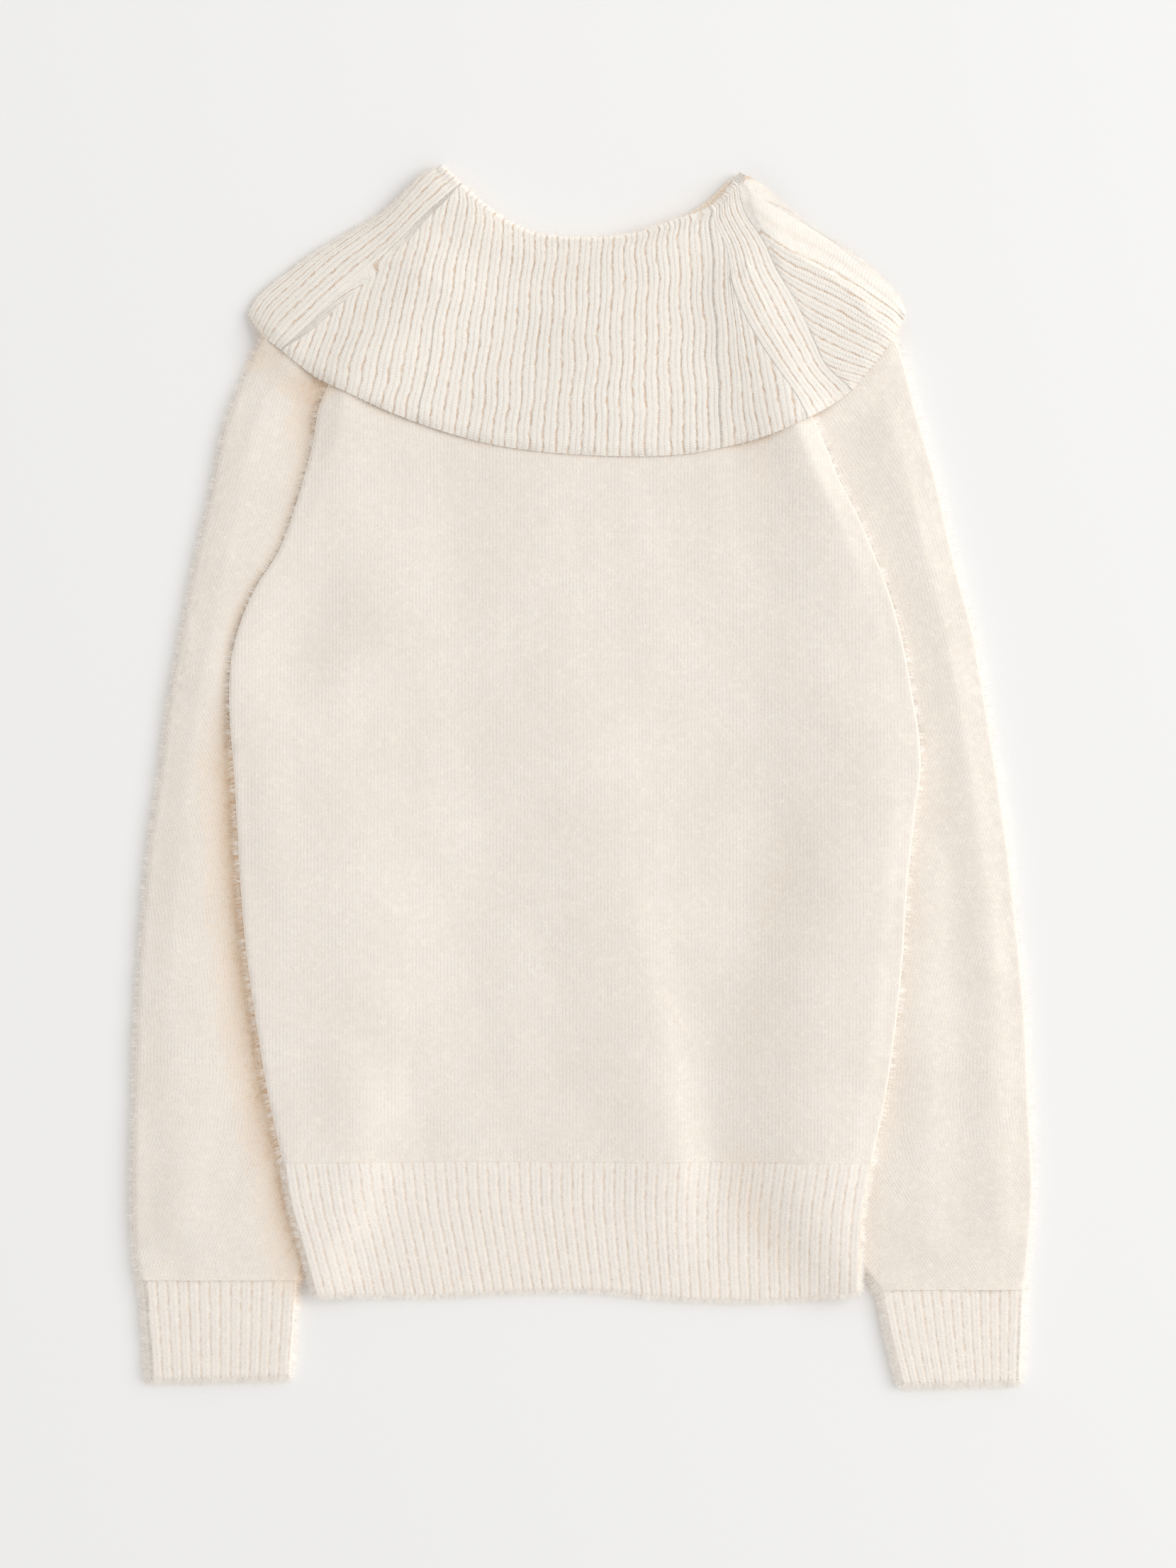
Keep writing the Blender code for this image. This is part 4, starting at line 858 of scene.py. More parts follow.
def rolled(sections, beneath, rows, columns, wall, folds, ribs=0, back="back", seed=1):
    radius = wall + cloth["foldGap"] / 2
    perRib = 8
    fadeIn, bluntness = 14, 0.6
    behind, outer, inward, fromFold = sleeveSide(sections, back, rows, columns, radius, 0, perRib)
    behind, fromFold = behind[:, ::-1], fromFold[:, ::-1]
    backTriangles = gridTriangles(rows, behind.shape[1])
    under = restOn(beneath, flat(behind), 6.0)
    backLow, backHigh = layer(behind, under, wall, fromFold[:, -1:] - fromFold, False)

    front, outer, inward, fromFold = sleeveSide(sections, "inner", rows, columns, radius, ribs, perRib)
    frontTriangles = gridTriangles(rows, front.shape[1])
    toEdge = fromFold[:, :1] - fromFold
    loft = np.full(toEdge.shape, 0.4)
    if folds:
        fade = np.clip((fromFold - radius) / fadeIn, 0, 1) * np.clip(toEdge / 10, 0, 1)
        uneven = 0.7 * softNoise(front[..., 0], front[..., 1] * 0.5, 42, seed)
        loft += (ridges(folds, front[..., 0], front[..., 1]) + np.maximum(uneven, -0.3)) * fade
    under = restOn([(flat(backHigh), backTriangles)], flat(front), 2.0, loft.ravel())
    rise = np.zeros(toEdge.shape)
    endFade = 1.0
    if ribs:
        phase = (np.arange(perRib * ribs + 1) % perRib) / perRib
        rise[:, 3:] = hem["ribRise"] * ribShape(phase)
        fromEnd = lengths(outer)[-1] - lengths(outer)
        endFade = rim(fromEnd, 2.2)[:, None]
    frontLow, frontHigh = layer(front, under, wall, toEdge, True, rise)
    frontHigh[..., 2] = frontLow[..., 2] + (frontHigh[..., 2] - frontLow[..., 2]) * endFade

    foldOuter, foldInner = [], []
    for angle in foldAngles:
        for store, high, low, reach in (
            (foldOuter, frontHigh[:, -1, 2], backLow[:, 0, 2], radius),
            (foldInner, frontLow[:, -1, 2], backHigh[:, 0, 2], cloth["foldGap"] / 2),
        ):
            z = (high + low) / 2 + (high - low) / 2 * math.sin(angle)
            place = outer + inward * (radius - reach * math.cos(angle) ** bluntness)
            store.append(np.column_stack([place, z]))
    outside = np.concatenate([frontHigh, np.stack(foldOuter, 1), backLow], axis=1)
    inside = np.concatenate([frontLow, np.stack(foldInner, 1), backHigh], axis=1)
    # knit coordinates: across the wales round the tube, and down the sleeve
    around = np.cumsum(np.linalg.norm(np.diff(outside, axis=1, prepend=outside[:, :1]), axis=2), axis=1)
    if ribs:
        around = np.repeat(np.linspace(0, around[0, -1], outside.shape[1])[None], rows, 0)
        ribbed = perRib * ribs + 1
        around[:, 3:3 + ribbed] = np.arange(ribbed) / perRib * looks["brushedRib"]["rib"]
    down = np.repeat(lengths(outer)[:, None], outside.shape[1], axis=1)
    uv = flat(np.dstack([around, down]))
    return {
        "wall": (flat(outside), flat(inside), gridTriangles(rows, outside.shape[1]), uv),
        "frontTop": (flat(frontHigh), frontTriangles),
        "backTop": (flat(backHigh), backTriangles),
        "backEdge": behind[::-1, -1],
    }


def below(surface, height):
    points, triangles = surface
    return points, triangles[points[triangles][:, :, 1].min(axis=1) < height]


# collar: points in columns that follow its ribs

collar = {
    "ribRise": 0.36,
    "capeRows": 34,
    "perRib": 8,
    "waver": 0.9,
    "hook": 0.14,             # how far a rib of the right wedge runs along its line before it turns
    "folds": table(
        "x1 y1 x2 y2 height leftWidth rightWidth",
        (42, 340, 14, 220, 4.2, 70, 44),
        (84, 352, 96, 300, 2.4, 40, 50),
        (-84, 366, -112, 270, 2.2, 44, 60),
    ),
    "leftBandRibs": 6,
    "leftBandStart": 0.42,    # share of the left fold along which outer ribs come over
    "leftLineRibs": 12,
    "centreRibs": 24,
    "rightLineRibs": 7,
    "rightBandRibs": 5,
    "rightWedgeRibs": 10,
    "topShare": 0.24,         # share of the second line above the wedge's first rib
    "capColumns": 16,         # columns of the smooth cloth between that rib and the fold
    "capShare": 0.01,         # share of the free edge that it takes
    "ribMm": 7.0,
    "fuzz": 52000,
    "neckline": table(
        "x y",
        (-90.2, 387.0),
        (-84.4, 382.5),
        (-77.6, 375.8),
        (-66.4, 365.9),
        (-55.1, 356.9),
        (-43.9, 349.8),
        (-32.6, 344.7),
        (-10.0, 341.0),
        (12.4, 340.8),
        (34.9, 343.8),
        (48.4, 348.3),
        (61.9, 352.8),
        (73.1, 356.5),
        (79.9, 359.7),
        (86.6, 365.5),
        (95.0, 376.5),
        (99.2, 382.5),
    ),
    # how far the back of the neckline shows above the front
    "backRise": table("x rise", (-90, 0), (-70, -5), (0, -6), (60, 0), (76, 5), (92, 5), (99.2, 0)),
    "leftFold": table(
        "x y",
        (-90.2, 387.0),
        (-100.1, 381.6),
        (-111.4, 371.3),
        (-124.9, 358.8),
        (-145.1, 347.0),
        (-167.6, 333.9),
        (-190.1, 317.3),
        (-205.9, 304.0),
        (-212.6, 293.0),
    ),
    "rightFold": table(
        "x y",
        (99.2, 382.5),
        (113.2, 374.9),
        (124.9, 364.5),
        (135.2, 355.6),
        (147.8, 346.0),
        (160.9, 338.0),
        (173.9, 329.6),
        (184.3, 321.3),
        (193.3, 311.9),
        (202.3, 300.2),
        (204.8, 293.4),
    ),
    "freeEdge": table(
        "x y",
        (-212.6, 293.0),
        (-205.0, 281.3),
        (-190.1, 268.5),
        (-168.0, 251.5),
        (-145.1, 240.0),
        (-122.6, 230.0),
        (-100.1, 221.5),
        (-77.6, 214.5),
        (-55.1, 209.0),
        (-32.6, 205.5),
        (-10.0, 203.5),
        (12.4, 202.3),
        (38.0, 202.0),
        (64.1, 203.4),
        (83.5, 206.6),
        (102.8, 210.8),
        (122.2, 216.8),
        (141.5, 225.5),
        (158.2, 235.0),
        (169.9, 244.0),
        (178.9, 254.0),
        (190.6, 268.5),
        (198.2, 279.5),
        (204.8, 293.4),
    ),
    "leftLine": table(
        "x y",
        (-76.5, 375.0),
        (-88.0, 361.5),
        (-96.5, 352.8),
        (-110.5, 337.5),
        (-129.8, 318.5),
        (-150.5, 298.8),
        (-169.9, 282.2),
        (-190.1, 268.5),
    ),
    "rightLine1": table(
        "x y",
        (79.9, 359.7),
        (88.4, 335.3),
        (96.5, 301.5),
        (105.5, 282.2),
        (115.9, 265.5),
        (128.5, 247.8),
        (141.5, 225.5),
    ),
    "rightLine2": table(
        "x y",
        (95.0, 376.5),
        (102.8, 355.5),
        (115.9, 332.6),
        (124.9, 316.0),
        (138.8, 289.5),
        (145.6, 274.8),
        (153.2, 260.1),
        (169.9, 244.0),
    ),
}


class RibSheet:
    def __init__(self):
        self.points = []
        self.phase = []
        self.uv = []
        self.columns = []

    def point(self, place, phase, uv):
        self.points.append(np.asarray(place, float))
        self.phase.append(phase)
        self.uv.append(uv)
        return len(self.points) - 1

    def column(self, start, end, k, rows, first=None, beside=None, share=0.0, turn=None):
        f = np.linspace(0, 1, rows + 1)[:, None]
        places = start * (1 - f) + end * f
        if turn is not None:
            run = np.linalg.norm(end - start) * collar["hook"]
            places = start * (1 - f) ** 2 + (start + turn * run) * 2 * f * (1 - f) + end * f**2
        if beside is not None:
            guide = along(beside, f[:, 0])
            places += share * (guide - guide[0] * (1 - f) - guide[-1] * f)
        u = k / collar["perRib"] * collar["ribMm"]
        size = np.linalg.norm(end - start)
        phase = (k % collar["perRib"]) / collar["perRib"] if k == int(k) else 0.5
        ids = [self.point(start, phase, (u, size)) if first is None else first]
        if first is not None:
            self.uv[first] = (u, size)
        if size > 0.4:
            for place, part in zip(places[1:], f[1:, 0]):
                ids.append(self.point(place, phase, (u, size * (1 - part))))
        return ids

    def bridge(self, first, second, points):
        made = []
        a, b = 0, 0
        while a < len(first) - 1 or b < len(second) - 1:
            stepA = stepB = math.inf
            if a < len(first) - 1:
                gap = points[first[a + 1]] - points[second[b]]
                stepA = gap[0] ** 2 + gap[1] ** 2
            if b < len(second) - 1:
                gap = points[first[a]] - points[second[b + 1]]
                stepB = gap[0] ** 2 + gap[1] ** 2
            if stepA <= stepB:
                corners = (first[a], first[a + 1], second[b])
                a += 1
            else:
                corners = (first[a], second[b + 1], second[b])
                b += 1
            if len(set(corners)) == 3:
                made.append(corners)
        return made

    def triangles(self):
        points = np.array(self.points)
        made = []
        for left, right in self.columns:
            made += self.bridge(left, right, points)
        return np.array(made)


def capePlan():
    sheet = RibSheet()
    n = collar["perRib"]
    rows = collar["capeRows"]
    neck, free = collar["neckline"], collar["freeEdge"]

    def at(line, other, end):
        return nearestFraction(line, other["x"][end], other["y"][end])

    neckLeft, freeLeft = at(neck, collar["leftLine"], 0), at(free, collar["leftLine"], -1)
    neck1, free1 = at(neck, collar["rightLine1"], 0), at(free, collar["rightLine1"], -1)
    neck2, free2 = at(neck, collar["rightLine2"], 0), at(free, collar["rightLine2"], -1)
    neckIds = []

    # left band: half of its ribs start at the neckline and half on the side fold
    count = n * collar["leftBandRibs"]
    half = count // 2
    bandStart = collar["leftBandStart"]
    starts = np.concatenate([np.linspace(bandStart, 0, half + 1)[:-1], np.zeros(half + 1)])
    onNeck = partOf(neck, 0.0, neckLeft, count - half + 1)
    tops = np.vstack([along(collar["leftFold"], starts[:half]), onNeck])
    ends = partOf(free, 0.0, freeLeft, count + 1)
    foldLine = partOf(collar["leftFold"], collar["leftBandStart"], 1.0, rows + 1)
    before = [sheet.point(place, 0, (0, 90 * (1 - i / rows))) for i, place in enumerate(foldLine)]
    for k in range(1, count):
        share = min(1.0, 2 - k / half)
        beside = restOf(collar["leftFold"], starts[k])
        ids = sheet.column(tops[k], ends[k], k, rows, None, beside, share)
        sheet.columns.append((before, ids))
        before = ids
        if k >= half:
            neckIds.append(ids[0])

    # line of added ribs on the left, then the ribs that start on it
    count = n * collar["leftLineRibs"]
    line = partOf(collar["leftLine"], 0.0, 1.0, count + 1)
    lineIds = [sheet.point(place, (-k % n) / n, (0, 0)) for k, place in enumerate(line)]
    sheet.columns.append((before, lineIds))
    neckIds.append(lineIds[0])
    wide = n * (collar["leftLineRibs"] + collar["centreRibs"] + collar["rightLineRibs"])
    centreEnds = partOf(free, freeLeft, free1, wide + 1)
    before = [lineIds[-1]]
    for k in range(1, count + 1):
        share = max(1, round(rows * k / count))
        ids = sheet.column(line[count - k], centreEnds[k], k, share, lineIds[count - k])
        sheet.columns.append((before, ids))
        before = ids

    # the middle, from the neckline to the free edge
    middle = n * collar["centreRibs"]
    tops = partOf(neck, neckLeft, neck1, middle + 1)
    for k in range(1, middle):
        ids = sheet.column(tops[k], centreEnds[count + k], k, rows)
        sheet.columns.append((before, ids))
        neckIds.append(ids[0])
        before = ids

    # first line on the right: ribs end against it from the left
    count1 = n * collar["rightLineRibs"]
    line = partOf(collar["rightLine1"], 0.0, 1.0, count1 + 1)
    lineIds = [sheet.point(place, (k % n) / n, (0, 0)) for k, place in enumerate(line)]
    neckIds.append(lineIds[0])
    offset = count + middle
    for k in range(count1):
        share = max(1, round(rows * (count1 - k) / count1))
        ids = sheet.column(line[k], centreEnds[offset + k], k, share, lineIds[k])
        sheet.columns.append((before, ids))
        before = ids
    sheet.columns.append((before, [lineIds[-1]]))
    before = lineIds

    # the band between the two lines
    count = n * collar["rightBandRibs"]
    tops = partOf(neck, neck1, neck2, count + 1)
    ends = partOf(free, free1, free2, count + 1)
    line1 = partOf(collar["rightLine1"], 0.0, 1.0, 400)
    line2 = partOf(collar["rightLine2"], 0.0, 1.0, 400)
    stops = np.linspace(0, 399, rows + 5).astype(int)
    for k in range(1, count):
        f = k / count
        places = line1[stops] * (1 - f) + line2[stops] * f
        places[0], places[-1] = tops[k], ends[k]
        run = lengths(places)
        ids = [
            sheet.point(place, (k % n) / n, (k / n * collar["ribMm"], run[-1] - run[i]))
            for i, place in enumerate(places)
        ]
        sheet.columns.append((before, ids))
        neckIds.append(ids[0])
        before = ids

    # second line, and the wedge of ribs that run from it to the right corner;
    # above its first rib the cloth is smooth up to the fold
    cap = collar["capColumns"]
    ribbed = n * collar["rightWedgeRibs"]
    count = ribbed + cap
    top = collar["topShare"]
    starts = np.concatenate([np.linspace(0, top, cap + 1)[:-1], np.linspace(top, 1, ribbed + 1)])
    line = along(collar["rightLine2"], starts)
    phases = [0.5 if k < cap else (-(k - cap) % n) / n for k in range(count + 1)]
    lineIds = [sheet.point(place, phase, (0, 0)) for place, phase in zip(line, phases)]
    sheet.columns.append((before, lineIds))
    neckIds.append(lineIds[0])
    lastRib = 1 - collar["capShare"]
    ribEnds = partOf(free, free2, lastRib, ribbed + 1)
    ends = np.vstack([ribEnds, partOf(free, lastRib, 1.0, cap + 1)[1:]])
    before = [lineIds[-1]]
    down = np.gradient(along(collar["rightLine2"], np.linspace(0, 1, count + 1)), axis=0)
    down /= np.linalg.norm(down, axis=1)[:, None]
    for k in range(1, count):
        share = max(1, round(rows * k / count))
        turn = down[int(starts[count - k] * count)] * (1 - (k / count) ** 2)
        across = k if k <= ribbed else ribbed + n * (0.1 + 0.8 * (k - ribbed) / cap)
        start = count - k
        bend = (k / count) ** 3
        fold = collar["rightFold"]
        ids = sheet.column(line[start], ends[k], across, share, lineIds[start], fold, bend, turn)
        sheet.columns.append((before, ids))
        before = ids
    foldLine = partOf(collar["rightFold"], 0.0, 1.0, rows + 1)
    u = (ribbed / n + 0.9) * collar["ribMm"]
    ids = [sheet.point(place, 0.5, (u, 130 * (1 - i / rows))) for i, place in enumerate(foldLine)]
    sheet.columns.append(([lineIds[0], *before], ids))
    neckIds.append(ids[0])
    return sheet, neckIds


def inwardNormals(line):
    run = np.gradient(line, axis=0)
    across = np.column_stack([run[:, 1], -run[:, 0]])
    return across / np.linalg.norm(across, axis=1)[:, None]


def standColumns(neckline, rows):
    across = inwardNormals(neckline)
    top = neckline + across * (cloth["ribWall"] + cloth["foldGap"] / 2)
    seam = along(body["neckSeam"], lengths(neckline) / lengths(neckline)[-1])
    steps = np.linspace(0, 1, rows)[:, None, None]
    return top[None] * (1 - steps) + seam[None] * steps, -across


def foldedCollar(outer, inner, triangles, uv, neckIds, standPlan, near, far, outward, relief):
    # neckline fold and hidden stand, added to a fold-over
    roundStep, standStart, standDepth = 1.4, 12.0, 45.0
    count = standPlan.shape[1]
    topOuter, topInner = outer[neckIds, 2], inner[neckIds, 2]
    near, far = near.reshape(-1, count), far.reshape(-1, count)
    outerRows, innerRows, uvRows = [], [], []
    for step, angle in enumerate(foldAngles):
        for store, high, low, reach in (
            (outerRows, topOuter, far[0], cloth["ribWall"] + cloth["foldGap"] / 2 + relief),
            (innerRows, topInner, near[0], cloth["foldGap"] / 2),
        ):
            z = (high + low) / 2 + (high - low) / 2 * math.sin(angle)
            reach = np.asarray(reach) * math.cos(angle)
            place = standPlan[0] + outward * (reach[:, None] if reach.ndim else reach)
            store.append(np.column_stack([place, z]))
        uvRows.append(uv[neckIds] + [0, roundStep * (step + 1)])
    for row in range(len(standPlan)):
        outerRows.append(np.column_stack([standPlan[row], far[row]]))
        innerRows.append(np.column_stack([standPlan[row], near[row]]))
        uvRows.append(uv[neckIds] + [0, standStart + standDepth * row / len(standPlan)])
    start, rows = len(outer), len(outerRows)
    ids = np.vstack([[neckIds], start + np.arange(rows * count).reshape(rows, count)])
    strip = gridTriangles(rows + 1, count)
    return (
        np.vstack([outer, *outerRows]),
        np.vstack([inner, *innerRows]),
        np.vstack([triangles, ids.ravel()[strip]]),
        np.vstack([uv, *uvRows]),
    )


def backCollar():
    columns, rows = 160, 30
    u = np.linspace(0, 1, columns)
    neckline = along(collar["neckline"], u)
    neckline[:, 1] += curve(collar["backRise"]["x"], collar["backRise"]["rise"], neckline[:, 0])
    standPlan, outward = standColumns(neckline, 6)
    v = np.linspace(0, 1, rows)
    plan = standPlan[0][None] * (1 - v)[:, None, None] + along(collar["freeEdge"], u)[None] * v[:, None, None]
    for side, line in ((0, collar["leftFold"]), (-1, collar["rightFold"])):
        bulge = along(line, v) - plan[:, side]
        bulge[0] = 0
        share = np.clip(1 - (u if side == 0 else 1 - u) * 3, 0, 1)
        plan = plan + bulge[:, None, :] * share[None, :, None]
    triangles = gridTriangles(rows, columns)[:, ::-1]
    low, high = layer(plan, np.zeros(plan.shape[:2]), cloth["ribWall"], edgeDistance(plan), False)
    widest, deepest = 420, 140
    uv = flat(np.dstack([np.repeat(u[None] * widest, rows, 0), np.repeat(v[:, None] * deepest, columns, 1)]))
    capeTop = flat(high), triangles
    under = restOn([capeTop], flat(standPlan), 4.0)
    far = under + cloth["ribWall"]
    sheet = flat(low), flat(high), triangles, uv, np.arange(columns)
    parts = foldedCollar(*sheet, standPlan, under, far, outward, 0.0)
    standTop = np.column_stack([flat(standPlan), far]), gridTriangles(len(standPlan), columns)
    return parts, capeTop, standTop


def nearestOn(line, points):
    # distance to the nearest point of a line, and which one it is
    gaps, rows = [], []
    for part in np.array_split(points, 20):
        away = np.linalg.norm(part[:, None] - line[None], axis=2)
        gaps.append(away.min(axis=1))
        rows.append(away.argmin(axis=1))
    return np.concatenate(gaps), np.concatenate(rows)


def frontCollar(backStandTop, beneath):
    sheet, neckIds = capePlan()
    plan = np.array(sheet.points)
    # the ribs waver a little
    folds = np.vstack([partOf(collar["leftFold"], 0, 1, 240), partOf(collar["rightFold"], 0, 1, 240)])
    hems = partOf(collar["freeEdge"], 0, 1, 700)
    neck = partOf(collar["neckline"], 0, 1, 300)
    (toFold, _), (toHem, _), (toNeck, nearest) = (nearestOn(line, plan) for line in (folds, hems, neck))
    free = np.clip(np.minimum(np.minimum(toFold, toHem), toNeck) / 14, 0, 1)
    plan[:, 0] += collar["waver"] * softNoise(plan[:, 0] * 0.6, plan[:, 1], 38, 21) * free
    standPlan, outward = standColumns(plan[neckIds], 5)
    # the cloth beside the neckline moves in too, to make room for its fold
    room = cloth["ribWall"] + cloth["foldGap"] / 2
    share = np.clip(1 - toNeck / 9, 0, 1) * np.clip(toFold / 6, 0, 1)
    plan += inwardNormals(neck)[nearest] * (room * share)[:, None]
    plan[neckIds] = standPlan[0]
    sheet.points = list(plan)
    triangles = sheet.triangles()
    under = restOn([backStandTop], flat(standPlan), 4.0)
    standTriangles = gridTriangles(len(standPlan), len(neckIds))
    standTop = np.column_stack([flat(standPlan), under + cloth["ribWall"]]), standTriangles
    capeUnder = restOn([*beneath, standTop], plan, 8.0, 0.0, 14.0)
    fade = np.clip(np.minimum(toFold, toHem) / 30, 0, 1)
    capeUnder += ridges(collar["folds"], plan[:, 0], plan[:, 1]) * fade
    # the ribs are stretched smooth round the right-hand peak
    peak = [collar["neckline"][side][-1] for side in "xy"]
    toPeak = np.linalg.norm(plan - peak, axis=1)
    relief = ribShape(np.array(sheet.phase)) * collar["ribRise"] * np.clip((toPeak - 10) / 26, 0.0, 1.0)
    relief *= 0.3 + 0.7 * np.clip(toNeck / 9, 0.0, 1.0)
    thick = (cloth["ribWall"] + relief) * rim(toFold, 4.0) * rim(toHem, 2.6)
    inner = np.column_stack([plan, capeUnder])
    outer = np.column_stack([plan, capeUnder + thick])
    uv = np.array(sheet.uv, float)
    far = under
    near = under + cloth["ribWall"]
    return foldedCollar(outer, inner, triangles, uv, neckIds, standPlan, near, far, outward, relief[neckIds])


# hem

hem = {
    "depth": 85.0,
    "ribs": 55,
    "ribRise": 0.4,
    "bottom": table(
        "x y",
        (-170, -328.5),
        (-100, -329.0),
        (-35, -326.0),
        (12, -326.0),
        (40, -329.0),
        (113, -332.0),
        (174.5, -327.0),
    ),
    "fuzz": 50000,
}


def hemFace(beneath, faceUp, ribs, rows):
    perRib = 8
    columns = perRib * ribs + 1
    middle = np.linspace(0, 1, columns)
    across = np.concatenate([[0.0, 0.0009], 0.0022 + middle * 0.9956, [0.9991, 1.0]])
    plan = []
    fall = np.concatenate([np.linspace(0, 0.965, rows), [0.975, 0.985, 0.993, 1.0]])
    for f in fall:
        meanY = body["hemTop"] + (hem["bottom"]["y"].mean() - body["hemTop"]) * f
        left, right = frontLeft(meanY), frontRight(meanY)
        x = left + (right - left) * across
        bottom = curve(hem["bottom"]["x"], hem["bottom"]["y"], x)
        plan.append(np.column_stack([x, body["hemTop"] - 0.05 + (bottom - body["hemTop"]) * f]))
    plan = np.array(plan)[::-1]
    fromTop = fall[::-1][:, None] * np.ones(plan.shape[:2])
    lift = np.zeros(plan.shape[:2])
    rise = np.zeros(plan.shape[:2])
    if faceUp:
        # the panel's folds run on into the hem and die away towards its end
        loft = bodyLoft(plan[..., 0], np.maximum(plan[..., 1], body["hemTop"]))
        loft *= np.clip(edgeDistance(plan) / 14, 0, 1)
        lift = 0.3 + (loft + cloth["jersey"] - cloth["ribWall"]) * (1 - fromTop) ** 1.2
        rise[:, 2:-2] = hem["ribRise"] * ribShape((np.arange(columns) % perRib) / perRib)
        usual = 0.8 * hem["ribRise"]
        rise = (rise - usual) * np.clip(fromTop * 6 + 0.1, 0, 1) + usual * fromTop
    under = restOn(beneath, flat(plan), 12.0, lift.ravel(), 12.0)
    low, high = layer(plan, under, cloth["ribWall"], edgeDistance(plan), faceUp, rise)
    if faceUp:
        fromEnd = np.linalg.norm(plan - plan[:1], axis=2)
        high[..., 2] = low[..., 2] + (high[..., 2] - low[..., 2]) * rim(fromEnd, 2.4)
    width = ribs * looks["brushedRib"]["rib"]
    u = np.concatenate([[-0.7, -0.3], middle * width, [width + 0.3, width + 0.7]])
    v = (1 - fall[::-1]) * hem["depth"]
    uv = np.dstack([np.repeat(u[None], len(plan), 0), np.repeat(v[:, None], len(u), 1)])
    return low, high, gridTriangles(*plan.shape[:2]), flat(uv)


# build the sweater

# millimetres; a blade is drawn wider than one fibre, since it stands for several
longFuzz = {
    "short": 2.0, "long": 6.0, "liftLow": 0.15, "liftHigh": 0.8, "width": 0.34,
    "fringe": 10.0, "combed": (0.1, -0.5, 0.0), "clothLight": 1.6,
}
ribFuzz = {
    "short": 1.6, "long": 5.0, "liftLow": 0.15, "liftHigh": 0.8, "width": 0.3,
    "fringe": 12.0, "combed": (0.0, -0.5, 0.0), "clothLight": 1.6,
}
shortFuzz = {
    "short": 1.0, "long": 3.2, "liftLow": 0.15, "liftHigh": 0.8, "width": 0.22,
    "fringe": 8.0, "combed": (0.0, -0.3, 0.0), "clothLight": 1.6,
}
pieceKinds = {           # material, fuzz and slot
    "panel": ("brushedJersey", longFuzz, "body_knit"),
    "sleeve": ("brushedJersey", longFuzz, "sleeve_knit"),
    "cuff": ("brushedRib", ribFuzz, "rib"),
    "hem": ("brushedRib", ribFuzz, "rib"),
    "collar": ("collarRib", shortFuzz, "collar_rib"),
}
fuzzCounts = {
    "front_panel": body["fuzz"],
    "left_sleeve": leftSleeve["fuzz"],
    "right_sleeve": rightSleeve["fuzz"],
    "left_cuff": leftCuff["fuzz"],
    "right_cuff": rightCuff["fuzz"],
    "front_hem": hem["fuzz"],
    "front_collar": collar["fuzz"],
}


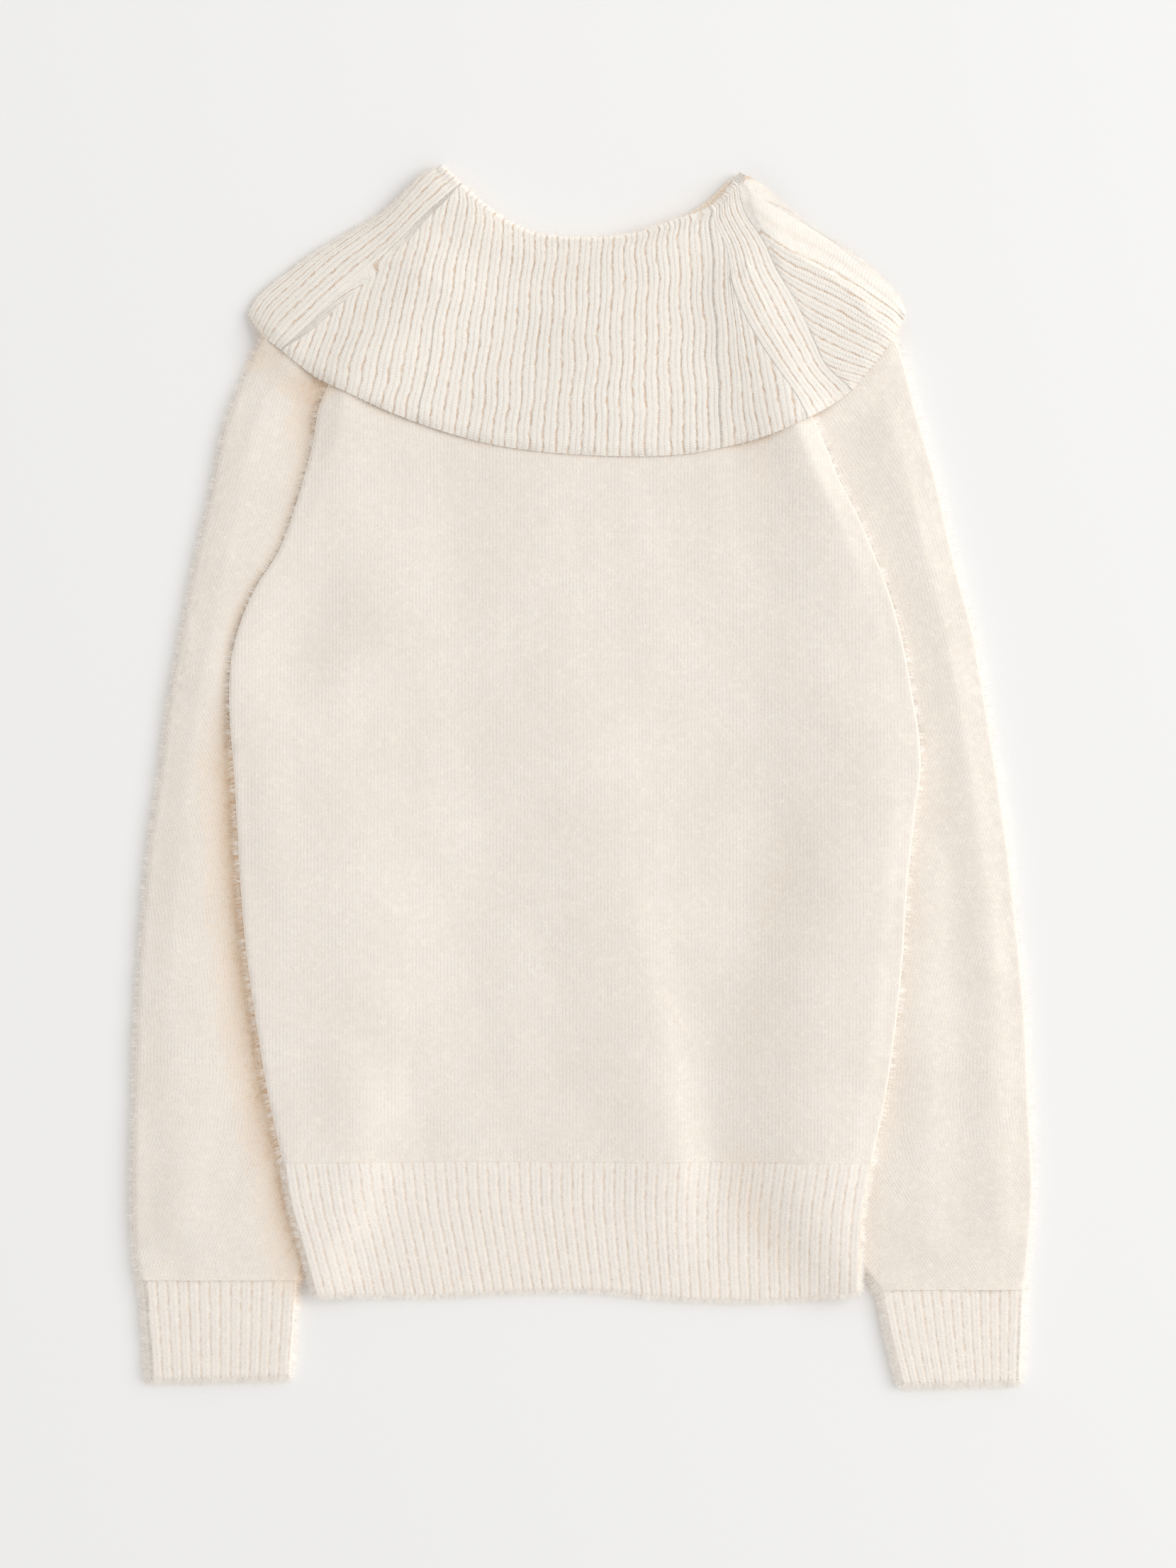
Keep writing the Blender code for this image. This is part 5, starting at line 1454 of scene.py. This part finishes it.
def buildSweater():
    print("collar back and sleeves")
    backSheet, capeTop, backStandTop = backCollar()
    left, right = (
        rolled(sleeve["sections"], [capeTop], 150, 26, cloth["jersey"], sleeve["folds"], seed=seed)
        for sleeve, seed in ((leftSleeve, 3), (rightSleeve, 4))
    )
    cuffL, cuffR = (
        rolled(cuff["sections"], [], 26, 20, cloth["ribWall"], None, cuff["ribs"], "inner")
        for cuff in (leftCuff, rightCuff)
    )

    print("body panels")
    layers = [left["frontTop"], left["backTop"], right["frontTop"], right["backTop"]]
    tubes = [below(sleeve, body["armpit"] + 6) for sleeve in layers]
    plan = panelPlan(
        body["hemTop"], 307.0,
        lambda y: backEdge(y, left["backEdge"], frontLeft, -1),
        lambda y: backEdge(y, right["backEdge"], frontRight, 1),
        80, 46,
    )
    backTriangles = gridTriangles(*plan.shape[:2])
    under = restOn([capeTop, *tubes], flat(plan), 10.0)
    backLow, backHigh = layer(plan, under, cloth["jersey"], edgeDistance(plan), False)
    backTop = flat(backHigh), backTriangles
    backUv = flat(plan)

    plan = panelPlan(body["hemTop"], 325.0, frontLeft, frontRight, body["rows"], body["columns"])
    frontTriangles = gridTriangles(*plan.shape[:2])
    beneath = [backTop, *layers]
    toEdge = edgeDistance(plan)
    loft = bodyLoft(plan[..., 0], plan[..., 1]) * np.clip(toEdge / 14, 0, 1) + 0.3
    under = restOn(beneath, flat(plan), 12.0, loft.ravel(), 22.0)
    frontLow, frontHigh = layer(plan, under, cloth["jersey"], toEdge, True)
    frontTop = flat(frontHigh), frontTriangles

    print("hem")
    hemBackLow, hemBackHigh, hemBackTriangles, hemBackUv = hemFace(
        [*tubes, cuffL["frontTop"], cuffR["frontTop"]], False, 14, 12,
    )
    hemBackTop = flat(hemBackHigh), hemBackTriangles
    hemLow, hemHigh, hemTriangles, hemUv = hemFace([hemBackTop, *tubes], True, hem["ribs"], 24)

    print("front collar")
    frontSheet = frontCollar(backStandTop, [*beneath, frontTop, capeTop, backStandTop])

    print("meshes")
    walls = {                # outer face, inner face, triangles and knit coordinates
        "front_panel": (flat(frontHigh), flat(frontLow), frontTriangles, flat(plan)),
        "back_panel": (flat(backLow), flat(backHigh), backTriangles, backUv),
        "left_sleeve": left["wall"],
        "right_sleeve": right["wall"],
        "left_cuff": cuffL["wall"],
        "right_cuff": cuffR["wall"],
        "front_hem": (flat(hemHigh), flat(hemLow), hemTriangles, hemUv),
        "back_hem": (flat(hemBackLow), flat(hemBackHigh), hemBackTriangles, hemBackUv),
        "front_collar": frontSheet,
        "back_collar": backSheet,
    }
    finishes = {name: knitMaterial(name) for name in looks}
    fibre = fibreMaterial("looseFibre", "f5f2ed", "faf8f5")
    seams = {"front_panel": body["hemTop"], "left_sleeve": -319.0, "right_sleeve": -325.0}
    # heights of all the cloth, used for the painted shade beside higher cloth
    skyline = heap([(outer, triangles) for outer, _, triangles, _ in walls.values()])
    for name, (outer, inner, triangles, uv) in walls.items():
        finish, look, slotName = pieceKinds[name.split("_")[1]]
        triangles = facing(outer, inner, triangles)
        piece = closedWall(name + "_knit", outer, inner, triangles, uv, finishes[finish], skyline)
        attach(piece, "root")
        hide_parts(name)
        if name in fuzzCounts:
            seamY = seams.get(name, 1000.0)
            fuzz = fuzzOn(name + "_fuzz", outer, triangles, fuzzCounts[name], look, fibre, skyline, seamY)
            # single fibres are too fine to shade the cloth
            fuzz.visible_shadow = False
            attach(fuzz, "root")


# surroundings

studio = {
    "sky": 0.738,
    "skyColour": "fefdfc",
    "windowPlace": (4.2, 1.5, 3.7),      # metres
    "windowSize": (4.6, 3.6),
    "windowWatts": 182.0,
    "windowColour": "fffffe",
    "floorColour": "eeeeee",
    "floorHalf": 6.0,
    "cameraHeight": 2.4,
    "cameraAbove": (3.15, -4.95),        # millimetres from the middle of the outline
    "photoHeightMm": 995.4,              # what the photo covers, top to bottom
}


def buildFloor():
    mesh = bpy.data.meshes.new("floor")
    size = studio["floorHalf"]
    corners = [(-size, -size, 0), (size, -size, 0), (size, size, 0), (-size, size, 0)]
    mesh.from_pydata(corners, [], [(0, 1, 2, 3)])
    floor = bpy.data.objects.new("floor", mesh)
    bpy.context.scene.collection.objects.link(floor)
    floor.location.z = -0.0002
    paper = bpy.data.materials.new("mattPaper")     # plain matt backdrop
    paper.use_nodes = True
    shader = paper.node_tree.nodes["Principled BSDF"]
    shader.inputs["Base Color"].default_value = srgb(studio["floorColour"])
    shader.inputs["Roughness"].default_value = 1.0
    shader.inputs["Specular IOR Level"].default_value = 0.0
    mesh.materials.append(paper)


def buildWindow():
    light = bpy.data.lights.new("window", "AREA")
    light.shape = "RECTANGLE"
    light.size, light.size_y = studio["windowSize"]
    light.energy = studio["windowWatts"]
    light.color = srgb(studio["windowColour"])[:3]
    lamp = bpy.data.objects.new("window", light)
    bpy.context.scene.collection.objects.link(lamp)
    lamp.location = studio["windowPlace"]
    lamp.rotation_euler = (-lamp.location).to_track_quat("-Z", "Y").to_euler()


def buildStudio():
    scene = bpy.context.scene
    world = bpy.data.worlds.new("studio")
    scene.world = world
    world.use_nodes = True
    sky = world.node_tree.nodes["Background"]
    sky.inputs[0].default_value = srgb(studio["skyColour"])
    sky.inputs[1].default_value = studio["sky"]
    buildWindow()
    scene.view_settings.view_transform = "Standard"
    scene.view_settings.look = "None"
    scene.view_settings.exposure = 0.0
    scene.view_settings.gamma = 1.0


def buildCamera():
    height = studio["cameraHeight"]
    camera = bpy.data.cameras.new("camera")
    camera.sensor_fit = "VERTICAL"
    camera.sensor_height = 24.0
    camera.lens = camera.sensor_height * height / (studio["photoHeightMm"] * mm)
    view = bpy.data.objects.new("camera", camera)
    bpy.context.scene.collection.objects.link(view)
    x, y = studio["cameraAbove"]
    view.location = (x * mm, y * mm, height)
    view.rotation_euler = (0.0, 0.0, 0.0)
    bpy.context.scene.camera = view


buildCamera()
buildStudio()
buildFloor()
buildSweater()
print("done")
